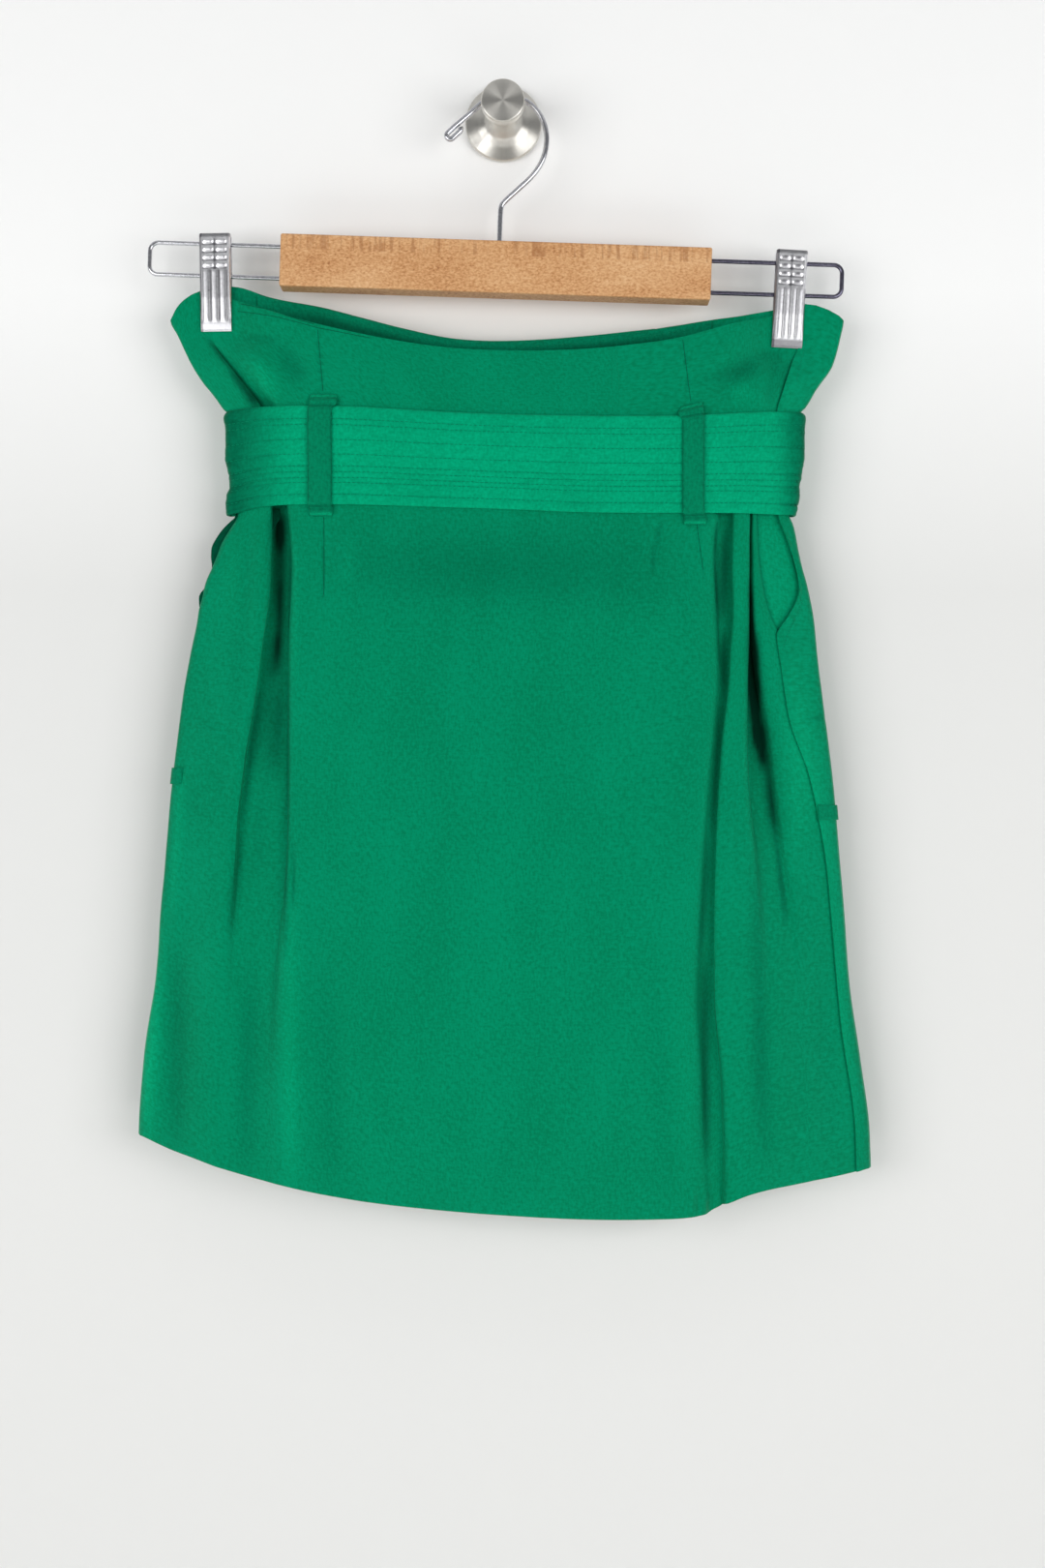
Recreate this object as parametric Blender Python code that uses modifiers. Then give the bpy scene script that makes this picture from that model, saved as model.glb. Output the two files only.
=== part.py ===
# A green high-waisted wrap skirt, seen from its back, on a clip hanger that hangs on a round wall peg.
# Millimetres in the tables, metres in the meshes. +X right, +Y into the wall, +Z up; the origin is the
# centre of the peg's base on the wall. The skirt hangs nearly flat, as a tube: its near layer (towards
# -Y) is the back panel, its far layer (towards the wall) is the front, which wraps over itself.
import math
import bpy
import bmesh
import numpy as np
from mathutils import Matrix, Vector

MM = 0.001
COLLECTION = "skirt_on_hanger"

# ---- driving sizes ----
CLOTH = 1.2                # cloth wall
SEAM_GAP = 0.35            # what lies beside or on a piece is this far from it
HANG_Y = -25.0             # plane of the hanger, and of the skirt's two side folds
BELT_TOP = -180.0
BELT_BOTTOM = -241.0
BELT_WALL = 1.6
BELT_GAP = 0.6
PINCH = 0.95               # half the distance between the layers' middles in a clip
CLIP_X = (-169.5, 168.4)   # middle of the left and the right clip's lip
CLIP_LIP = -134.0          # lowest height that the clips hold
CLIP_LIP_RIGHT = -143.0
PLEAT = 6.0                # cloth in a pleat's hidden return
LAP = 1.7                  # how deep the back panel's margin lies under the front's edge
WRAP_EDGE = -60.0          # free edge of the outer front panel
UNDER_EDGE = 90.0          # free edge of the inner front panel
UNDER_INSET = 1.9          # the inner front panel lies this far inside the outer one
FACING_DROP = 24.0         # height of the facing strip
FACING_WALL = 1.0
SIDE_GAP = 0.3             # each layer stops this far from the side fold's line at a seam
TILT = math.radians(1.9)   # the hanger hangs a little lower on the right


def table(columns, rows):
    """Named columns; the first one is the key that the others are read by."""
    values = np.array(rows, dtype=float)
    columns = {name: values[:, i] for i, name in enumerate(columns.split())}
    columns["key"] = values[:, 0]
    return columns


# The tube by height: left and right side folds, how far each layer swells from the hanging plane,
# and the radius of the side folds.
BODY = table("z left right near far fold", [
    (-104, -196.4, 201.1, 6.0, 6.0, 1.5),
    (-125, -196.4, 201.1, 6.5, 6.0, 1.6),
    (-133, -192.4, 199.6, 7.0, 6.0, 1.6),
    (-152, -183.2, 194.4, 7.0, 6.0, 1.8),
    (-162, -175.4, 188.4, 6.5, 6.0, 2.0),
    (-169, -167.0, 180.4, 6.2, 6.0, 2.1),
    (-175, -160.0, 173.8, 6.0, 6.0, 2.2),
    (-210, -158.8, 171.0, 6.0, 6.0, 2.4),
    (-241, -159.2, 168.8, 6.0, 6.0, 2.4),
    (-252, -167.8, 172.4, 6.3, 6.0, 2.6),
    (-266, -172.6, 175.2, 6.8, 6.2, 2.8),
    (-286, -180.4, 180.0, 7.2, 6.4, 2.8),
    (-304, -182.4, 183.6, 7.6, 6.6, 3.0),
    (-346, -188.8, 188.9, 8.4, 7.0, 3.2),
    (-399, -194.6, 194.8, 9.4, 7.6, 3.4),
    (-450, -199.1, 199.6, 10.4, 8.2, 3.6),
    (-515, -204.6, 205.4, 11.6, 9.0, 3.8),
    (-563, -211.6, 211.0, 12.4, 9.6, 4.0),
    (-606, -216.4, 217.2, 13.2, 10.2, 4.0),
    (-660, -217.0, 218.0, 13.6, 10.4, 4.0),
])

# Heights of the cut edges along the width: the back's top, the front's top, and the hem.
BACK_TOP = table("x z", [
    (-196.4, -124.9), (-184.9, -111.7), (-179.8, -108.5), (-160.0, -112.8), (-134.0, -122.0),
    (-108.0, -129.6), (-84.0, -134.4), (-50.0, -141.5), (-17.0, -144.6), (23.0, -145.0),
    (80.5, -141.0), (106.7, -136.4), (131.0, -129.6), (158.0, -122.8), (179.8, -116.6), (201.1, -125.2),
])
FRONT_TOP = table("x z", [
    (-196.4, -124.9), (-184.9, -111.5), (-179.8, -107.0), (-160.0, -104.6), (-137.0, -110.4),
    (-109.0, -115.0), (-86.0, -121.3), (-62.6, -127.6), (-41.3, -132.2), (-21.8, -135.9),
    (0.0, -136.2), (41.9, -133.4), (81.0, -129.9), (118.3, -123.6), (159.0, -119.0),
    (179.8, -115.8), (201.1, -125.2),
])
HEM = table("x z", [
    (-216.5, -605.8), (-184.3, -615.3), (-162.8, -623.3), (-132.2, -632.3), (-97.7, -639.7),
    (-64.9, -644.5), (-32.6, -647.6), (0.2, -650.4), (49.4, -652.7), (85.6, -652.5), (117.0, -649.0),
    (130.5, -642.4), (142.0, -638.4), (170.5, -632.9), (217.6, -624.6),
])
FRONT_HEM_LIFT = 5.0       # the front hangs this much shorter in the middle
BELT_EDGES = table("x top bottom", [
    (-163.0, -179.4, -240.6), (-144.0, -177.6, -236.2), (-125.0, -177.2, -235.0), (-99.0, -177.5, -235.0),
    (-32.0, -181.3, -237.0), (0.0, -182.6, -237.8), (39.0, -183.4, -239.6), (61.0, -183.6, -240.2),
    (103.0, -183.4, -240.2), (135.0, -181.6, -240.0), (162.0, -180.2, -240.4), (176.0, -180.2, -240.8),
])

# The four pleats of the back panel: where the edge lies and how far the cloth turns back under it,
# from 0 degrees (flat) past 90 (a step) to 120 (tucked under). The edge points right or left.
PLEAT_A = table("z edge turn", [     # left side panel over the channel, edge to the right
    (-104, -180.0, 2), (-134, -179.0, 2), (-143, -172.4, 40), (-152, -166.0, 96), (-166, -155.0, 118),
    (-180, -146.0, 122), (-205, -139.5, 122), (-241, -136.0, 122), (-281, -136.8, 120),
    (-316, -141.2, 116), (-351, -145.8, 112), (-380, -150.8, 105), (-418, -155.6, 95),
    (-450, -158.0, 78), (-500, -161.4, 42), (-540, -164.0, 18), (-606, -168.0, 8), (-660, -169.0, 8),
])
PLEAT_B = table("z edge turn", [     # middle panel over the channel, edge to the left
    (-104, -163.0, 2), (-134, -162.5, 2), (-143, -160.5, 26), (-152, -156.5, 50), (-166, -147.5, 66),
    (-180, -139.0, 80), (-205, -131.0, 105), (-241, -126.6, 120), (-274, -123.6, 120),
    (-310, -125.3, 118), (-354, -126.0, 114), (-397, -126.6, 110), (-450, -127.2, 96),
    (-504, -127.8, 60), (-530, -130.8, 32), (-570, -132.0, 14), (-660, -132.0, 8),
])
PLEAT_C = table("z edge turn", [     # right ridge over the middle panel, edge to the left
    (-104, 140.0, 3), (-160, 139.0, 3), (-185, 136.0, 30), (-210, 134.6, 85), (-241, 133.6, 115),
    (-337, 131.4, 116), (-400, 126.4, 112), (-439, 123.4, 110), (-522, 123.4, 98),
    (-554, 126.9, 88), (-576, 129.2, 80), (-621, 130.8, 72), (-660, 131.0, 66),
])
PLEAT_D = table("z edge turn", [     # right ridge over the side strip, edge to the right
    (-104, 148.0, 3), (-160, 148.0, 3), (-185, 147.0, 30), (-210, 146.2, 80), (-241, 145.6, 116),
    (-280, 146.2, 118), (-337, 146.2, 120), (-382, 147.2, 104), (-420, 148.4, 74),
    (-450, 149.6, 44), (-500, 151.0, 20), (-560, 152.0, 9), (-660, 153.0, 6),
])
# The right side seam: the back panel's end, the front panel's edge over it, how far that edge gapes.
SIDE_SEAM = table("z back front gape", [
    (-104, 191.0, 185.6, 0.0), (-125, 190.0, 184.0, 0.0), (-134, 187.5, 181.6, 0.0),
    (-142, 184.0, 178.0, 0.0), (-150, 179.0, 173.4, 0.0), (-160, 174.5, 169.0, 0.0),
    (-180, 166.5, 162.0, 0.0), (-200, 157.0, 161.2, 0.0), (-221, 151.0, 161.2, 0.0),
    (-241, 150.6, 162.0, 0.4), (-266, 152.2, 170.2, 1.0), (-281, 154.0, 174.0, 1.2),
    (-291, 156.0, 172.0, 1.0), (-303, 160.0, 165.6, 0.5), (-311, 163.4, 160.6, 0.0),
    (-329, 167.0, 163.4, 0.0), (-360, 172.0, 168.0, 0.0), (-394, 184.2, 180.2, 0.0),
    (-420, 189.8, 186.0, 0.0), (-444, 193.8, 190.2, 0.0), (-480, 197.0, 193.6, 0.0),
    (-540, 202.4, 199.0, 0.0), (-606, 211.8, 208.2, 0.0), (-660, 212.6, 209.0, 0.0),
])
# The left pocket: how far the front's edge leaves the side fold, and how far the facing bulges out.
LEFT_POCKET = table("z leave bulge", [
    (-236, 0.0, 0.0), (-243, 3.0, 0.4), (-252, 9.0, 3.6), (-262, 11.0, 2.6), (-271, 11.0, 0.6),
    (-279, 11.0, 0.8), (-288, 10.0, 2.6), (-297, 7.0, 1.6), (-304, 3.0, 0.2), (-310, 0.0, 0.0),
])
POCKET_TOP = -236.0
POCKET_LIFT = 0.85                   # the left facing passes this far behind the side fold's line
POCKET_FOOT = -299.5
POCKET_RIGHT_FOOT = -314.0
TAB_RIGHT = (-411.6, -420.4)
TAB_LEFT = (-389.6, -399.2)
TAB_WALL = 1.0
TAB_GAP = 0.7
LOOP_X = (-107.2, 112.4)             # middle of each belt loop
LOOP_WIDTH = (15.3, 14.0)
LOOP_END = 6.8                       # how far a loop's ends reach past the belt's edges
LOOP_WALL = 1.2

# ---- control columns and rows ----
NEAR, FAR = -1, 1                    # the two layers of the tube
JAW_HALF = 10.0                      # half the width that a clip presses flat, and the ease beyond it
JAW_EASE = 12.0
LEVELS = np.arange(-104.0, -662.0, -2.0)
FAR_COLUMNS = (188.0, 182.0, 176.0, 169.0, 162.0, 156.0, 149.0, 138.0, 122.0, 100.0, 74.0, 44.0, 12.0,
               -20.0, -44.0)
UNDER_COLUMNS = (-180.0, -175.0, -169.0, -163.0, -157.0, -150.0, -140.0, -126.0, -108.0, -92.0, -78.0,
                 -60.0, -28.0, 10.0, 50.0)
FACING_COLUMNS = (-124, -117, -108, -98, -88, -78, -66, -50, -30, -5, 20, 45, 66, 84, 98, 112, 124)
BELT_ACROSS = (8.0, 15.0, 24.0, 36.0, 52.0, 74.0, 100.0, 130.0)   # belt columns from either side fold
BACK_ROWS = np.linspace(0, 1, 20)    # rows from the belt (0) to the hem (1)
OVER_ROWS = (0.0, 0.05, 0.1, 0.15, 0.2, 0.28, 0.38, 0.5, 0.62, 0.74, 0.87, 1.0)
UNDER_ROWS = (0.0, 0.025, 0.06, 0.1, 0.135, 0.165, 0.19, 0.22, 0.3, 0.42, 0.56, 0.7, 0.85, 1.0)

# ---- hanger and peg ----
BAR_CENTRE = (-4.3, HANG_Y, -94.9)
BAR_SIZE = (254.0, 15.0, 30.8)
ARM_WIRE = 1.3
ARM_REACH = 204.9
ARM_HALF_HEIGHT = 9.4
ARM_CORNER = 5.0
ARM_SEAT = 9.0                       # how far a wire goes into its bore
HOOK_WIRE = 1.6
HOOK_SEAT = 10.0
HOOK_FOOT = 1.6                       # where the hook enters the bar, along the bar from its middle
HOOK_ROUTE = [(-1.9, -70.0), (-1.6, -62.0), (-1.2, -57.0), (1.4, -54.0), (10.0, -46.4), (18.4, -38.6),
              (24.4, -29.0), (26.4, -17.0), (24.0, -6.4), (18.4, 1.6), (10.4, 6.8), (-0.5, 9.2), (-10.6, 5.6),
              (-18.6, -1.8)]
EYE_CENTRE = (-29.2, -13.6)
EYE_HALF, EYE_RADIUS = 2.8, 2.15      # half the eye's straight part, radius of its wire line
EYE_TURN = math.radians(43.0)
BORE_GAP = 0.3
CLIP_MIDDLE = (-170.2, 170.9)        # left and right clip: middle of its top, height of its top, lean
CLIP_TOP = (-74.4, -84.2)
CLIP_LEAN = (math.radians(-0.9), math.radians(3.4))
CLIP_SHEET = 0.8
SPRING_ALONG = (-165.5, 172.6)       # the springs' middles, along the bar
SPRING_RADII = (1.65, 2.7)
SPRING_LENGTH = 11.0
PEG_PROFILE = table("out radius", [  # distance from the wall, radius
    (0.0, 0.0), (0.0, 22.2), (0.7, 23.0), (2.6, 23.0), (3.3, 22.3), (3.9, 20.0), (5.2, 15.6),
    (7.4, 11.6), (10.6, 8.8), (15.0, 7.2), (21.0, 6.4), (29.0, 6.2), (32.6, 6.8), (33.4, 11.8),
    (34.2, 12.8), (39.2, 12.8), (40.0, 12.1), (40.0, 0.0),
])

FLUTES = [                           # a front jaw's section: across, and out (-) or in (+)
    (-9.0, 1.7), (-8.6, 0.4), (-6.4, 0.0), (-5.2, -0.5), (-3.8, -0.5), (-2.6, 0.0), (-1.7, 0.0), (-0.7, -0.5),
    (0.7, -0.5), (1.7, 0.0), (2.6, 0.0), (3.8, -0.5), (5.2, -0.5), (6.4, 0.0), (8.6, 0.4), (9.0, 1.7),
]
FRONT_JAW = table("drop y relief flange", [   # down from the clip's top; y of the sheet; relief; side flange
    (0.0, -28.7, 0.0, 1.0), (2.6, -28.9, 1.3, 1.0), (5.0, -28.9, 0.1, 1.0),
    (7.4, -28.9, 1.3, 1.0), (9.8, -28.9, 0.1, 1.0), (12.2, -28.9, 1.3, 1.0), (14.6, -28.9, 0.1, 1.0),
    (17.0, -28.9, 1.3, 1.0), (20.4, -28.9, 0.2, 1.0), (23.5, -28.9, 1.0, 1.0), (38.0, -28.8, 1.0, 0.8),
    (51.0, -28.1, 1.0, 0.1), (53.4, -28.0, 0.0, 0.0), (57.6, -27.4, 0.0, 0.0),
])
REAR_JAW = table("drop y", [
    (0.0, -20.8), (10.0, -20.9), (24.0, -21.2), (40.0, -21.9), (52.0, -22.4), (57.6, -22.7),
])
REAR_ACROSS = (-8.8, -3.0, 3.0, 8.8)

# ---- colours, roughness, metallic ----
LOOKS = {
    "satin": ((0.002, 0.245, 0.115), 0.5, 0.0),
    "satin_shade": ((0.002, 0.17, 0.08), 0.55, 0.0),
    "belt_satin": ((0.002, 0.33, 0.165), 0.5, 0.0),
    "beech": ((0.62, 0.34, 0.15), 0.55, 0.0),
    "chrome": ((0.72, 0.72, 0.72), 0.16, 1.0),
    "brushed_steel": ((0.52, 0.51, 0.48), 0.32, 1.0),
}


# ---- reading the tables ----
def smooth(xs, ys, x):
    """Monotone cubic through the rows of a table, level beyond its ends."""
    if xs[0] > xs[-1]:
        xs, ys = xs[::-1], ys[::-1]
    x = min(max(x, xs[0]), xs[-1])
    k = min(int(np.searchsorted(xs, x, side="right")) - 1, len(xs) - 2)
    steps = np.diff(xs)
    grades = np.diff(ys) / steps

    def slope(i):
        if i == 0 or i == len(xs) - 1 or grades[i - 1] * grades[i] <= 0:
            return 0.0
        return 2.0 * grades[i - 1] * grades[i] / (grades[i - 1] + grades[i])

    t = (x - xs[k]) / steps[k]
    a = 2 * t ** 3 - 3 * t ** 2 + 1
    b = t ** 3 - 2 * t ** 2 + t
    c = t ** 3 - t ** 2
    return a * ys[k] + b * steps[k] * slope(k) + (1 - a) * ys[k + 1] + c * steps[k] * slope(k + 1)


def read(rows, name, at):
    return smooth(rows["key"], rows[name], at)


def ease(x, start, end):
    t = min(max((x - start) / (end - start), 0.0), 1.0)
    return t * t * (3 - 2 * t)


def lerp(a, b, t):
    return a + (b - a) * t


# ---- the tube that the skirt follows ----
def pinched(x, z):
    """1 inside a clip's jaws, falling to 0 around them."""
    most = 0.0
    for centre, lip in zip(CLIP_X, (CLIP_LIP, CLIP_LIP_RIGHT)):
        beside = max(abs(x - centre) - JAW_HALF, 0.0) / JAW_EASE
        below = max(lip - z, 0.0) / JAW_EASE
        most = max(most, math.exp(-beside ** 2 - below ** 2))
    return most


def fold_radius(z, end):
    x = read(BODY, end, z)
    return lerp(read(BODY, "fold", z), PINCH, pinched(x, z))


def flat(x, z, side, depth=0.0):
    """A point of a layer at width x, moved in from the layer by depth."""
    left = read(BODY, "left", z) + fold_radius(z, "left")
    right = read(BODY, "right", z) - fold_radius(z, "right")
    across = min(abs(2 * x - left - right) / (right - left), 1.0)
    swell = read(BODY, "near" if side == NEAR else "far", z)
    free = read(BODY, "fold", z) + swell * (1 - across ** 5)
    half = lerp(free, PINCH, pinched(x, z))
    return (x, HANG_Y + side * (half - depth))


def corner(z, end, side, depth=0.0):
    """Control points that take a layer from a side fold's outermost line into the layer."""
    r = fold_radius(z, end) - depth
    inward = 1 if end == "left" else -1
    apex = read(BODY, end, z) + inward * depth
    return [(apex, HANG_Y + side * 0.5 * r), (apex + inward * 0.45 * r, HANG_Y + side * 0.95 * r)]


def beside(distance, z, end, side, depth=0.0):
    """A point of a layer at a distance from the side fold's line."""
    inward = 1 if end == "left" else -1
    return flat(read(BODY, end, z) + inward * distance, z, side, depth)


def round_fold(z, end, depth=0.0):
    """Control points round a whole side fold, from the near layer to the far one."""
    r = fold_radius(z, end) - depth
    near = corner(z, end, NEAR, depth)
    return [beside(1.3 * r, z, end, NEAR, depth)] + near[::-1] + corner(z, end, FAR, depth) \
        + [beside(1.3 * r, z, end, FAR, depth)]


# ---- sections of the pieces: control points (x, y) at a height, in order along the cloth ----
def pleat(rows, z, toward):
    """The hidden return of a pleat: its edge, its middle and its root, and the root's depth."""
    edge = read(rows, "edge", z)
    turn = math.radians(read(rows, "turn", z))
    run = toward * PLEAT * math.cos(turn)
    deep = PLEAT * math.sin(turn) * (1 - pinched(edge, z))
    return [(edge + run * t, deep * t) for t in (0.0, 0.5, 1.0)]


def back_section(z):
    a = pleat(PLEAT_A, z, 1)
    b = pleat(PLEAT_B, z, -1)
    c = pleat(PLEAT_C, z, -1)
    d = pleat(PLEAT_D, z, 1)
    end = read(SIDE_SEAM, "back", z)
    r = fold_radius(z, "left")
    start = read(BODY, "left", z)
    points = [(start, HANG_Y - SIDE_GAP)] + corner(z, "left", NEAR) + [beside(1.4 * r, z, "left", NEAR)]
    points += [flat(lerp(start + 2.0 * r, a[0][0], t), z, NEAR) for t in (0.1, 0.33, 0.57, 0.8)]

    def put(pairs):
        points.extend(flat(x, z, NEAR, depth) for x, depth in pairs)

    put(a)
    put([(lerp(a[2][0], b[2][0], t), lerp(a[2][1], b[2][1], t)) for t in (0.25, 0.5, 0.75)])
    put(b[::-1])
    middle = c[2][0] - b[0][0]
    put([(b[0][0] + middle * t, 0.0) for t in (0.02, 0.055, 0.11, 0.2, 0.32, 0.44, 0.56, 0.68, 0.78)])
    put([(c[2][0] - middle * 0.1, c[2][1] * 0.28), (c[2][0] - middle * 0.045, c[2][1] * 0.8)])
    put(c[::-1])
    put([((c[0][0] + d[0][0]) / 2, 0.0)])
    put(d)
    root, deep = d[2]
    for t, k in ((0.22, 0.85), (0.42, 0.5), (0.62, 0.22), (0.82, 0.05), (1.0, 0.0)):
        x = lerp(root, end, t)
        lap = LAP * (1 - pinched(x, z))
        put([(x, lerp(lap, max(deep, lap), k))])
    return points


def front_over_section(z):
    edge = read(SIDE_SEAM, "front", z)
    r = fold_radius(z, "right")
    turn = read(BODY, "right", z) - 1.3 * r
    lift = read(SIDE_SEAM, "gape", z) + LAP * pinched(edge, z)
    points = [flat(lerp(edge, turn, t), z, NEAR, -lift * (1 - t)) for t in (0.0, 0.25, 0.6)]
    points += round_fold(z, "right")
    scale = (read(BODY, "right", z) - 4.0) / 195.0
    points += [flat(x * scale, z, FAR) for x in FAR_COLUMNS + (WRAP_EDGE,)]
    return points


def inset(x):
    """How far the inner front panel lies inside the outer one, none beside the outer one's free edge."""
    return UNDER_INSET * ease(x, WRAP_EDGE - 52.0, WRAP_EDGE - 18.0)


def front_under_section(z):
    r = fold_radius(z, "left")
    leave = read(LEFT_POCKET, "leave", z)
    start = read(BODY, "left", z)
    folded = [(start, HANG_Y + SIDE_GAP)] + corner(z, "left", FAR) + [beside(1.4 * r, z, "left", FAR)]
    opened = [beside(leave + d, z, "left", FAR) for d in (0.4, 1.8, 3.4, 5.4)]
    away = ease(leave, 0.0, 3.0)
    points = [(lerp(a[0], b[0], away), lerp(a[1], b[1], away)) for a, b in zip(folded, opened)]
    scale = (start + 4.0) / -190.4
    first = points[-1][0]
    for x in UNDER_COLUMNS + (UNDER_EDGE,):
        x = max(x * scale, first + 0.6 * (x + 183.0))
        points.append(flat(x, z, FAR, inset(x)))
    return points


def facing_section(z):
    """The strip inside the front's top edge, between the clips, inside both front panels."""
    skin = CLOTH / 2 + SEAM_GAP + FACING_WALL / 2 + 0.1
    return [flat(x, z, FAR, skin + inset(x) * (1 - ease(x, 94.0, 116.0))) for x in FACING_COLUMNS]


def pocket_right_section(z):
    start = read(SIDE_SEAM, "back", z) + 0.9
    limit = read(BODY, "right", z) - fold_radius(z, "right") - 1.0
    end = max(min(read(SIDE_SEAM, "front", z) + 8.0, limit), start + 3.0)
    return [flat(lerp(start, end, t), z, NEAR, lerp(LAP, 2.6, t)) for t in (0.0, 0.3, 0.65, 1.0)]


def pocket_left_section(z):
    apex = read(BODY, "left", z)
    bulge = read(LEFT_POCKET, "bulge", z)
    out = apex - bulge + 1.0
    points = [(x, HANG_Y + POCKET_LIFT) for x in (out, lerp(out, apex + 3.0, 0.5), apex + 3.0, apex + 8.0)]
    return points + [beside(15.0, z, "left", FAR, 2.3), beside(24.0, z, "left", FAR, 2.4)]


def belt_section(z):
    """The belt's strip, once round the skirt, its two ends lapped at the front."""
    out = -(CLOTH / 2 + BELT_GAP + BELT_WALL / 2)
    over = out - BELT_WALL - SEAM_GAP
    points = [flat(x, z, FAR, out) for x in (-18.0, 8.0, 40.0)]
    points += [beside(d, z, "right", FAR, out) for d in BELT_ACROSS[::-1][1:]]
    points += round_fold(z, "right", out)[::-1]
    points += [beside(d, z, "right", NEAR, out) for d in BELT_ACROSS]
    points += [flat(5.0, z, NEAR, out)]
    points += [beside(d, z, "left", NEAR, out) for d in BELT_ACROSS[::-1]]
    points += round_fold(z, "left", out)
    points += [beside(d, z, "left", FAR, out) for d in BELT_ACROSS[:6]]
    points += [flat(-60.0, z, FAR, out)]
    points += [flat(x, z, FAR, over) for x in (-36.0, -8.0, 24.0)]
    return points


def tab_section(z, end, start, stop):
    """A narrow tab round a side fold: it starts on the near layer and stops on the far one."""
    out = -(CLOTH / 2 + TAB_GAP + TAB_WALL / 2)
    turn = 1.3 * (fold_radius(z, end) - out)
    first = [beside(lerp(start, turn, t), z, end, NEAR, out) for t in (0.0, 0.5)]
    last = [beside(lerp(turn, stop, t), z, end, FAR, out) for t in (0.5, 1.0)]
    return first + round_fold(z, end, out) + last


# ---- from sections to solids ----
def rounded(points, samples=1):
    """Points along the quadratic curve that a control polygon draws; it keeps both ends."""
    points = np.asarray(points, dtype=float)
    mids = (points[:-1] + points[1:]) / 2
    curve = [points[0]]
    for k in range(1, len(points) - 1):
        for t in np.arange(samples) / samples:
            curve.append((1 - t) ** 2 * mids[k - 1] + 2 * t * (1 - t) * points[k] + t * t * mids[k])
    return np.array(curve + [mids[-1], points[-1]])


def remove_everything():
    for item in list(bpy.data.objects):
        bpy.data.objects.remove(item, do_unlink=True)


def material(name):
    found = bpy.data.materials.get(name)
    if found:
        return found
    colour, roughness, metallic = LOOKS[name]
    made = bpy.data.materials.new(name)
    made.use_nodes = True
    shader = made.node_tree.nodes["Principled BSDF"]
    shader.inputs["Base Color"].default_value = (*colour, 1.0)
    shader.inputs["Roughness"].default_value = roughness
    shader.inputs["Metallic"].default_value = metallic
    return made


def add_object(name, data, look, group="parts"):
    piece = bpy.data.objects.new(name, data)
    data.materials.append(material(look))
    groups[group].objects.link(piece)
    return piece


def shade(mesh, angle=40.0):
    mesh.shade_smooth()
    mesh.set_sharp_from_angle(angle=math.radians(angle))


def wall(name, grid, thickness, look):
    """A thin solid on a grid of points in millimetres, rows by columns, made as a surface with Solidify."""
    rows, columns = grid.shape[:2]
    bm = bmesh.new()
    verts = [[bm.verts.new(Vector(grid[i, j]) * MM) for j in range(columns)] for i in range(rows)]
    for i in range(rows - 1):
        for j in range(columns - 1):
            bm.faces.new((verts[i][j], verts[i + 1][j], verts[i + 1][j + 1], verts[i][j + 1]))
    bmesh.ops.recalc_face_normals(bm, faces=bm.faces)
    mesh = bpy.data.meshes.new(name)
    bm.to_mesh(mesh)
    bm.free()
    piece = add_object(name, mesh, look)
    solid = piece.modifiers.new("cloth", "SOLIDIFY")
    solid.thickness = thickness * MM
    solid.offset = 0.0
    solid.use_even_offset = True
    shade(mesh, 60.0)
    return piece


def lofted(section, heights, samples=1):
    """Rows of points at the given heights; a height is a number or a function of the column's x."""
    grid = []
    for height in heights:
        row = [(x, y, height) for x, y in section(height)]
        grid.append(rounded(row, samples))
    return np.array(grid)


def panel(name, section, top, hem, counts, skirt_rows, look):
    """A cloth panel between two edge lines: rows above the belt, under it, and down to the hem."""
    columns = np.array([section(z) for z in LEVELS])         # level, column, (x, y)
    zones = [np.linspace(0, 1, n, endpoint=False) for n in counts]
    grid = []
    for zone, start, end in zip(zones + [skirt_rows], ("top", BELT_TOP, BELT_BOTTOM),
                                (BELT_TOP, BELT_BOTTOM, "hem")):
        for t in zone:
            row = []
            for j in range(columns.shape[1]):
                xs, ys = columns[:, j, 0], columns[:, j, 1]

                def x_at(z):
                    return float(np.interp(-z, -LEVELS, xs))

                def edge(line, guess):
                    z = guess
                    for _ in range(14):
                        z = lerp(z, line(x_at(z)), 0.6)
                    return z

                high = edge(top, -120.0) if start == "top" else start
                low = edge(hem, -640.0) if end == "hem" else end
                z = lerp(high, low, t)
                row.append((x_at(z), float(np.interp(-z, -LEVELS, ys)), z))
            grid.append(rounded(row))
    return wall(name, np.array(grid), CLOTH, look)


def back_top(x):
    return read(BACK_TOP, "z", x)


def front_top(x):
    return read(FRONT_TOP, "z", x)


def hem(x):
    return read(HEM, "z", x)


def front_hem(x):
    return hem(x) + FRONT_HEM_LIFT * (1 - min(abs(x) / 217.0, 1.0) ** 2)


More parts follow.
